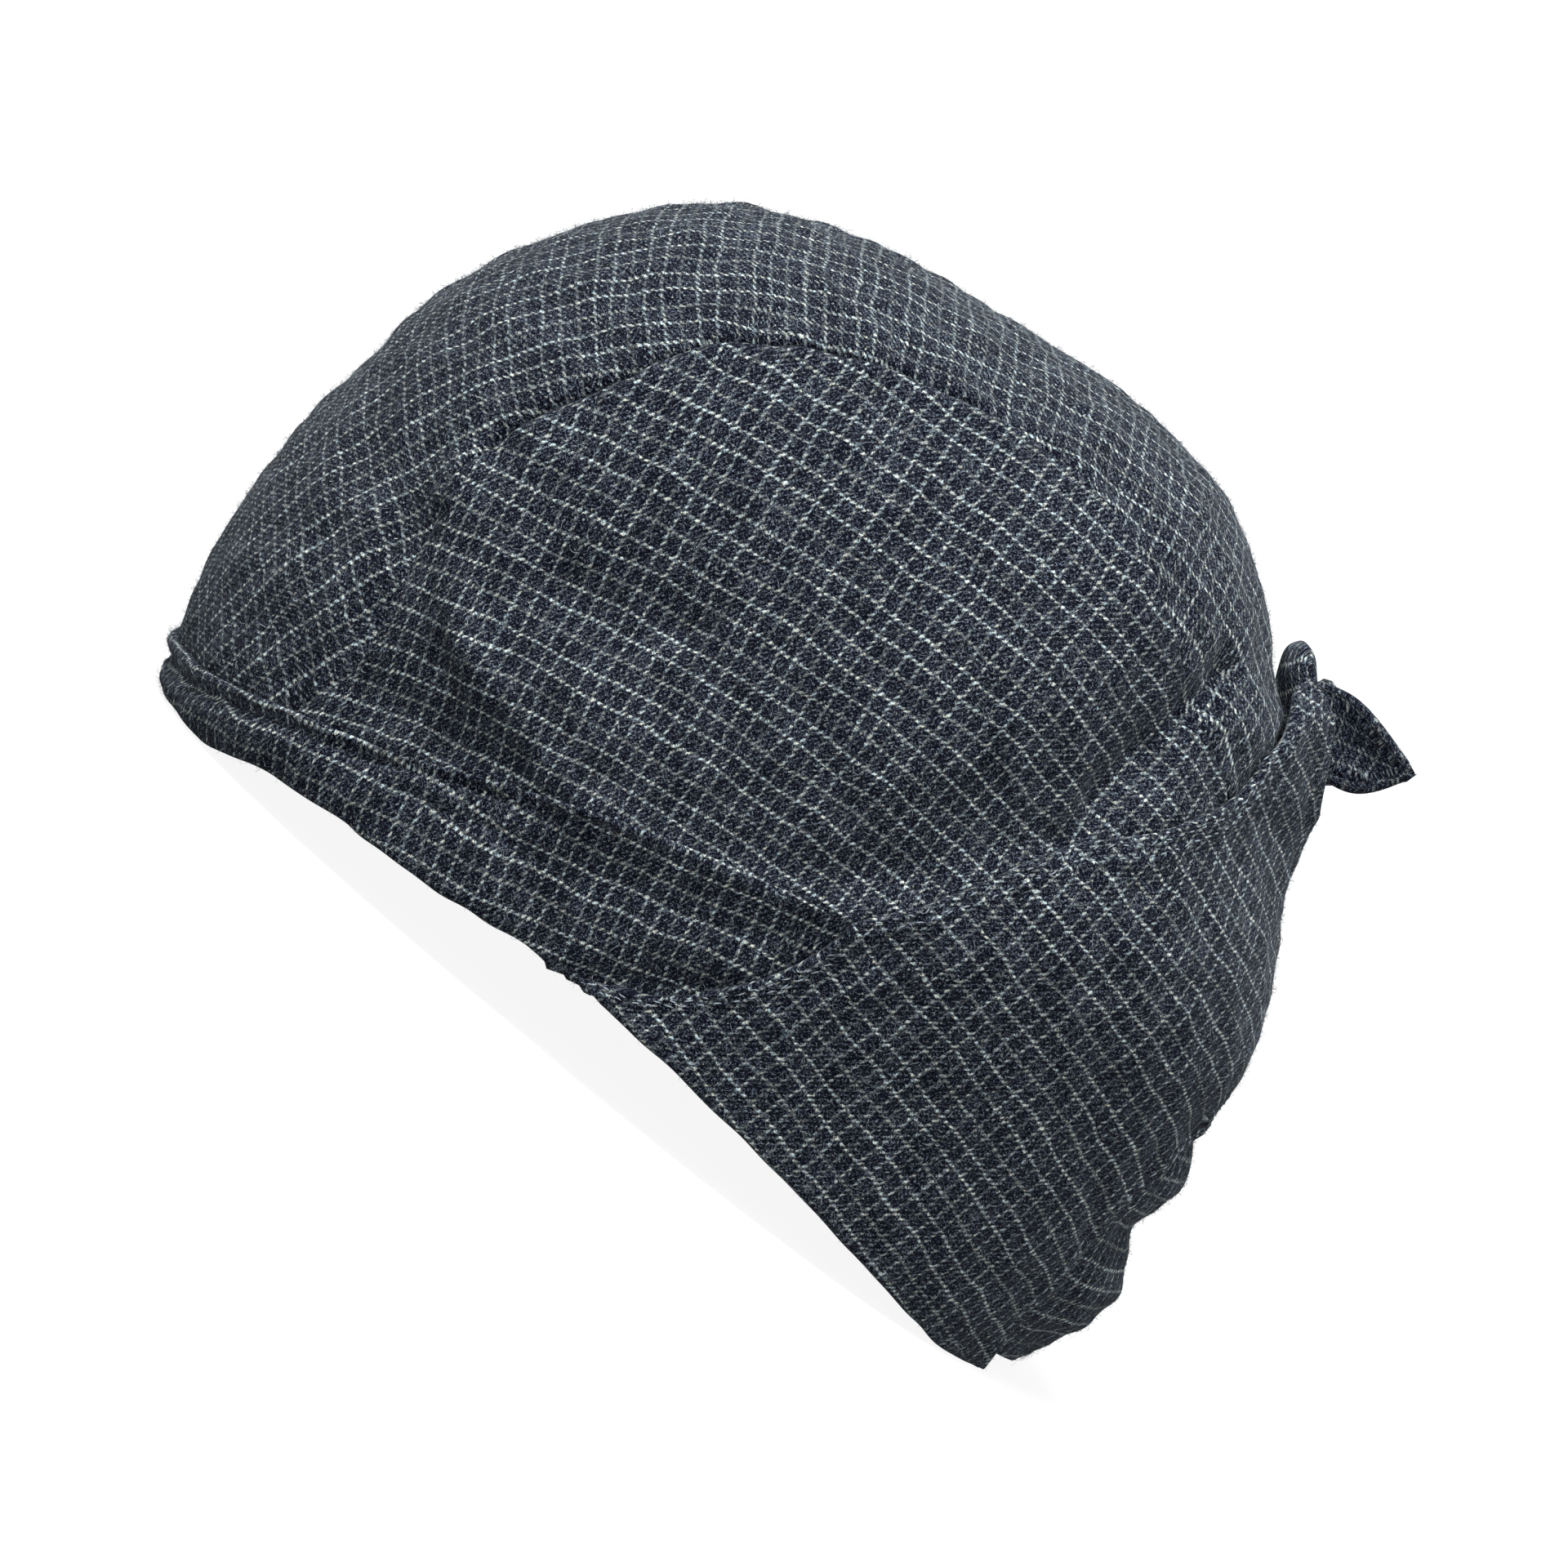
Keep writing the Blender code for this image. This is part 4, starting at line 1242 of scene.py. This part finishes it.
def loose_fibres(name, sheets, seed, at_edges):
    """Short curled wool fibres that lie on cloth, a few standing off it, as one mesh of thin ribbons.

    at_edges is how many more there are at the cloth's edges, as a share.
    """
    rng = np.random.default_rng(seed)
    blocks = []
    for sheet in sheets:
        points = SHEETS[sheet]
        normals = grid_normals(points)
        one = points[:-1, 1:] - points[:-1, :-1]
        two = points[1:, :-1] - points[:-1, :-1]
        area = np.linalg.norm(np.cross(one, two), axis=2)
        nearest = np.minimum.reduce(list(edge_distances(points).values()))[:-1, :-1]
        area *= 1 + at_edges * np.exp(-((nearest / EDGE_REACH) ** 2))
        count = int(FIBRES_PER_MM2 * area.sum() / MILLIMETRE**2)
        cell = rng.choice(area.size, size=count, p=area.ravel() / area.sum())
        row, column = np.divmod(cell, area.shape[1])
        a = rng.random(count)[:, None]
        b = rng.random(count)[:, None]
        root = points[row, column] + a * one[row, column] + b * two[row, column]
        normal = normals[row, column]
        side = units(np.cross(normal, rng.normal(size=(count, 3))))
        other = np.cross(normal, side)
        length = rng.uniform(*FIBRE_LENGTH, count)
        standing = rng.random(count) < STANDING_SHARE
        lift = rng.uniform(*FIBRE_LIFT, count) * np.where(standing, STANDING_LIFT, rng.random(count))
        curl = rng.normal(0, FIBRE_CURL, count)
        width = rng.uniform(*FIBRE_HALF_WIDTH, count)
        roll = rng.uniform(-FIBRE_ROLL, FIBRE_ROLL, count)
        open_end = rng.random(count) < OPEN_END_SHARE
        strand = []
        centre = root.copy()
        for k in range(FIBRE_POINTS):
            share = k / (FIBRE_POINTS - 1)
            turn = curl * share
            heading = np.cos(turn)[:, None] * side + np.sin(turn)[:, None] * other
            if k:
                centre = centre + heading * (length / (FIBRE_POINTS - 1))[:, None]
            high = np.where(open_end, share, np.sin(np.pi * share)) * lift
            lean = np.cos(roll)[:, None] * np.cross(heading, normal) + np.sin(roll)[:, None] * normal
            half = (width * (1 - FIBRE_TAPER * share))[:, None]
            middle = centre + normal * (high + FIBRE_CLEAR)[:, None]
            strand.append(np.stack((middle - lean * half, middle + lean * half), axis=1))
        blocks.append(np.stack(strand, axis=1))
    corners = rest_on_floor(np.concatenate(blocks))
    tones = rng.random(len(corners))
    return ribbons(name, corners, tones)


def give_tones(piece, tones):
    """Keep a tone from 0 to 1 at each point, which the fibres' material reads."""
    layer = piece.data.attributes.new("tone", "FLOAT", "POINT")
    layer.data.foreach_set("value", tones.astype(np.float32))


CELL_MARGIN = 0.25


def ribbons(name, corners, tones):
    """One mesh of strips from pairs of points, each with its tone and a cell on the piece's picture."""
    count, steps = corners.shape[:2]
    base = np.arange(count)[:, None] * (2 * steps) + 2 * np.arange(steps - 1)[None]
    faces = np.stack((base, base + 1, base + 3, base + 2), axis=2).reshape(-1, 4)
    cells = int(np.ceil(np.sqrt(count)))
    cell = np.stack(np.divmod(np.arange(count), cells), axis=1)[:, None, None, :]
    near = np.arange(steps - 1)[:, None] + np.array((0, 0, 1, 1))
    spot = np.stack((near / (steps - 1), np.array((0, 1, 1, 0)) + 0 * near), axis=2)
    bake = (cell + CELL_MARGIN + (1 - 2 * CELL_MARGIN) * spot[None]) / cells
    piece = mesh_object(name, corners.reshape(-1, 3), faces, bake=bake.reshape(-1, 2))
    give_tones(piece, np.repeat(tones, 2 * steps))
    return piece


STITCH_LENGTH = 0.0015
STITCH_PITCH = 0.0030
STITCH_HALF_WIDTH = 0.00015
STITCH_STEPS = 4
STITCH_TURNS = 6
STITCH_SINK = 0.00004
STITCH_WANDER = 0.00022
STITCH_SPREAD = (0.7, 1.15)
STITCH_LEAN = 0.00016
STITCH_AHEAD = 0.0004
STITCH_TONES = (0.75, 1.0)
STITCHED_LENGTH = (0.03, 0.86)


def row_in_sheet(sheet, edge, depth):
    """Points and normals of a line that keeps its distance from one edge of a sheet."""
    points = SHEETS[sheet]
    normals = grid_normals(points)
    far = edge_distances(points)[edge]
    if edge in ("start", "end"):
        points, normals, far = points.transpose(1, 0, 2), normals.transpose(1, 0, 2), far.T
    if edge in ("end", "high"):
        points, normals, far = points[::-1], normals[::-1], far[::-1]
    row = np.array([np.interp(depth, column, np.arange(len(column))) for column in far.T])
    first = np.minimum(row.astype(int), len(points) - 2)
    share = (row - first)[:, None]
    index = np.arange(len(row))
    line = (1 - share) * points[first, index] + share * points[first + 1, index]
    return line, normals[first, index]


def sampled(at, marks, values):
    """Points or normals at distances along a line, from those at its marks."""
    return np.stack([np.interp(at, marks, values[:, axis]) for axis in range(3)], axis=-1)


def stitches(name, rows, seed):
    """Short thread stitches along hems, as one mesh; rows name a sheet, an edge and a distance."""
    rng = np.random.default_rng(seed)
    share = np.linspace(0, 1, STITCH_STEPS + 1)[:, None]
    arch = np.sqrt(np.clip(1 - (2 * share - 1) ** 2, 0.02, 1))[..., None] * STITCH_HALF_WIDTH
    turn = 2 * np.pi * np.arange(STITCH_TURNS)[:, None] / STITCH_TURNS
    vertices = []
    faces = []
    start = 0
    for sheet, edge, depth in rows:
        line, normals = row_in_sheet(sheet, edge, depth)
        marks = lengths_along(line)
        first, last = np.array(STITCHED_LENGTH) * marks[-1]
        middle = np.arange(first, last, STITCH_PITCH)
        middle = middle + rng.normal(0, STITCH_WANDER, len(middle))
        length = STITCH_LENGTH * rng.uniform(*STITCH_SPREAD, len(middle))
        lean = rng.normal(0, STITCH_LEAN, len(middle))
        at = middle + (share - 0.5) * length
        place = sampled(at, marks, line)
        normal = sampled(at, marks, normals)
        aside = units(np.cross(normal, sampled(at + STITCH_AHEAD, marks, line) - place))
        place += aside * (lean * (2 * share - 1))[..., None] + normal * (arch - STITCH_SINK)
        circle = np.cos(turn) * aside[..., None, :] + np.sin(turn) * normal[..., None, :]
        vertices.append((place[..., None, :] + arch[..., None] * circle).reshape(-1, 3))
        corner = start + np.arange(at.size * STITCH_TURNS).reshape(*at.shape, STITCH_TURNS)
        faces.append(faces_between(corner, np.roll(corner, -1, axis=2)))
        start += corner.size
    piece = mesh_object(name, rest_on_floor(np.concatenate(vertices)), np.concatenate(faces))
    give_tones(piece, rng.uniform(*STITCH_TONES, start))
    return piece


def add_camera():
    """The photograph's view."""
    right = np.array((0, np.cos(ROLL), np.sin(ROLL)))
    upward = np.array((0, -np.sin(ROLL), np.cos(ROLL)))
    toward = np.cos(RAISED) * ACROSS + np.sin(RAISED) * upward
    up = np.cos(RAISED) * upward - np.sin(RAISED) * ACROSS
    eye = LOOKED_AT + CAMERA_DISTANCE * toward
    camera = bpy.data.objects.new("camera", bpy.data.cameras.new("camera"))
    camera.data.sensor_width = SENSOR
    camera.data.lens = SENSOR * CAMERA_DISTANCE / PICTURE_WIDTH
    matrix = np.eye(4)
    matrix[:3] = np.stack((right, up, toward, eye), axis=1)
    camera.matrix_world = Matrix(matrix.tolist())
    bpy.context.scene.collection.objects.link(camera)
    bpy.context.scene.camera = camera
    bpy.context.scene.view_settings.view_transform = "Standard"


def add_lamp(name, heading, softness, strength):
    """A soft lamp far away, from a heading and a height in degrees."""
    around, height = np.radians(heading)
    lamp = bpy.data.lights.new(name, "SUN")
    lamp.angle = np.radians(softness)
    lamp.energy = strength
    light = bpy.data.objects.new(name, lamp)
    light.rotation_euler = (0, np.pi / 2 - height, around)
    bpy.context.scene.collection.objects.link(light)


# Studio: size, shade and glow of the floor, strength of the world as a lamp and as a
# backdrop, then the lamps.
# Columns: name, heading from the wearer's left towards the back with height, both in
# degrees, softness in degrees, strength.
FLOOR_SIZE = 60.0
FLOOR_SHADE = 0.15
FLOOR_GLOW = 0.91
WORLD_LIGHT = 0.38
WORLD_BACKDROP = 1.0
LAMPS = [
    ("key", (-55, 67), 32, 4.25),
    ("fill", (2, 2), 40, 1.65),
]


def add_studio():
    """A plain pale floor, a pale world and soft lamps."""
    half = FLOOR_SIZE / 2
    corners = [(-half, -half, 0), (half, -half, 0), (half, half, 0), (-half, half, 0)]
    floor_mesh = bpy.data.meshes.new("floor")
    floor_mesh.from_pydata(corners, [], [(0, 1, 2, 3)])
    floor = bpy.data.objects.new("floor", floor_mesh)
    g = Graph("pale_floor")
    seen = g.node("ShaderNodeLightPath", {}).outputs["Is Camera Ray"]
    floor_mesh.materials.append(g.shade({
        "Base Color": (FLOOR_SHADE, FLOOR_SHADE, FLOOR_SHADE, 1),
        "Roughness": 0.9,
        "Specular IOR Level": 0.0,
        "Emission Color": (1.0, 1.0, 1.0, 1),
        "Emission Strength": g.times(seen, FLOOR_GLOW),
    }))
    bpy.context.scene.collection.objects.link(floor)
    world = bpy.data.worlds.new("pale_world")
    world.use_nodes = True
    tree = world.node_tree
    seen = tree.nodes.new("ShaderNodeLightPath").outputs["Is Camera Ray"]
    strength = tree.nodes.new("ShaderNodeMapRange")
    strength.inputs["To Min"].default_value = WORLD_LIGHT
    strength.inputs["To Max"].default_value = WORLD_BACKDROP
    tree.links.new(seen, strength.inputs["Value"])
    background = tree.nodes["Background"]
    background.inputs["Color"].default_value = (1.0, 1.0, 1.0, 1)
    tree.links.new(strength.outputs["Result"], background.inputs["Strength"])
    bpy.context.scene.world = world
    for name, heading, softness, strength in LAMPS:
        add_lamp(name, heading, softness, strength)


def add_trim(piece, material):
    """Give a loose trim its material and its place in the part."""
    piece.data.materials.append(material)
    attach(piece, BODY)


def dress():
    """Build every piece, give it its cloth and its place in the part."""
    cloth = check_cloth("check_cloth")
    looks = {
        "crown_center": check_cloth("check_crown", crossing=0.72, strays=0.62),
        # The left tail's check has fewer pale flecks, so it is darker: painted shade for the near tail's
        # face, which turns away from the lamps.
        "left_tail_cloth": check_cloth("check_painted_shade", paleness=0.45),
    }
    pieces = [
        (make_center_panel(), ["crown_center_panel"], "check_cloth"),
        (make_side_panel("crown_left", 1), ["crown_left_panel"], "check_cloth"),
        (make_side_panel("crown_right", -1), ["crown_right_panel"], "check_cloth"),
        (make_front_band(), ["front_band"], "band_cloth"),
        (make_wrap("left_wrap_cloth", 1), ["left_wrap"], "check_cloth"),
        (make_wrap("right_wrap_cloth", -1), ["right_wrap"], "check_cloth"),
        (make_nape_gusset(), ["nape_gusset"], "band_cloth"),
        (make_knot(), ["knot"], "check_cloth"),
        (make_tail(*TAILS[0]), ["tail_left"], "band_cloth"),
        (make_tail(*TAILS[1]), ["tail_right"], "check_cloth"),
    ]
    for piece, nodes, slot in pieces:
        piece.data.materials.append(looks.get(piece.name, cloth))
        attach(piece, BODY)
        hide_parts(*nodes)
    fibre = fibre_cloth()
    trimmed = ["front_band_cloth", "nape_cloth", "left_tail_cloth", "right_tail_cloth"]
    for name, sheets, seed, at_edges in (
        ("crown_fibres", ["crown_center"], 1, SEAM_EXTRA),
        ("side_fibres", ["crown_left", "crown_right"], 2, SEAM_EXTRA),
        ("wrap_fibres", ["left_wrap_cloth", "right_wrap_cloth"], 3, EDGE_EXTRA),
        ("edge_fibres", trimmed, 4, EDGE_EXTRA),
    ):
        add_trim(loose_fibres(name, sheets, seed, at_edges), fibre)
    hems = []
    for sheet, edges in HEMS.items():
        hems += [(sheet, edge, depth) for edge in edges[:2] for depth in STITCH_ROWS]
    hems += [(sheet, edges[2], STITCH_ROWS[1]) for sheet, edges in HEMS.items()]
    add_trim(stitches("hem_stitches", hems, 5), fibre)


dress()
add_camera()
add_studio()
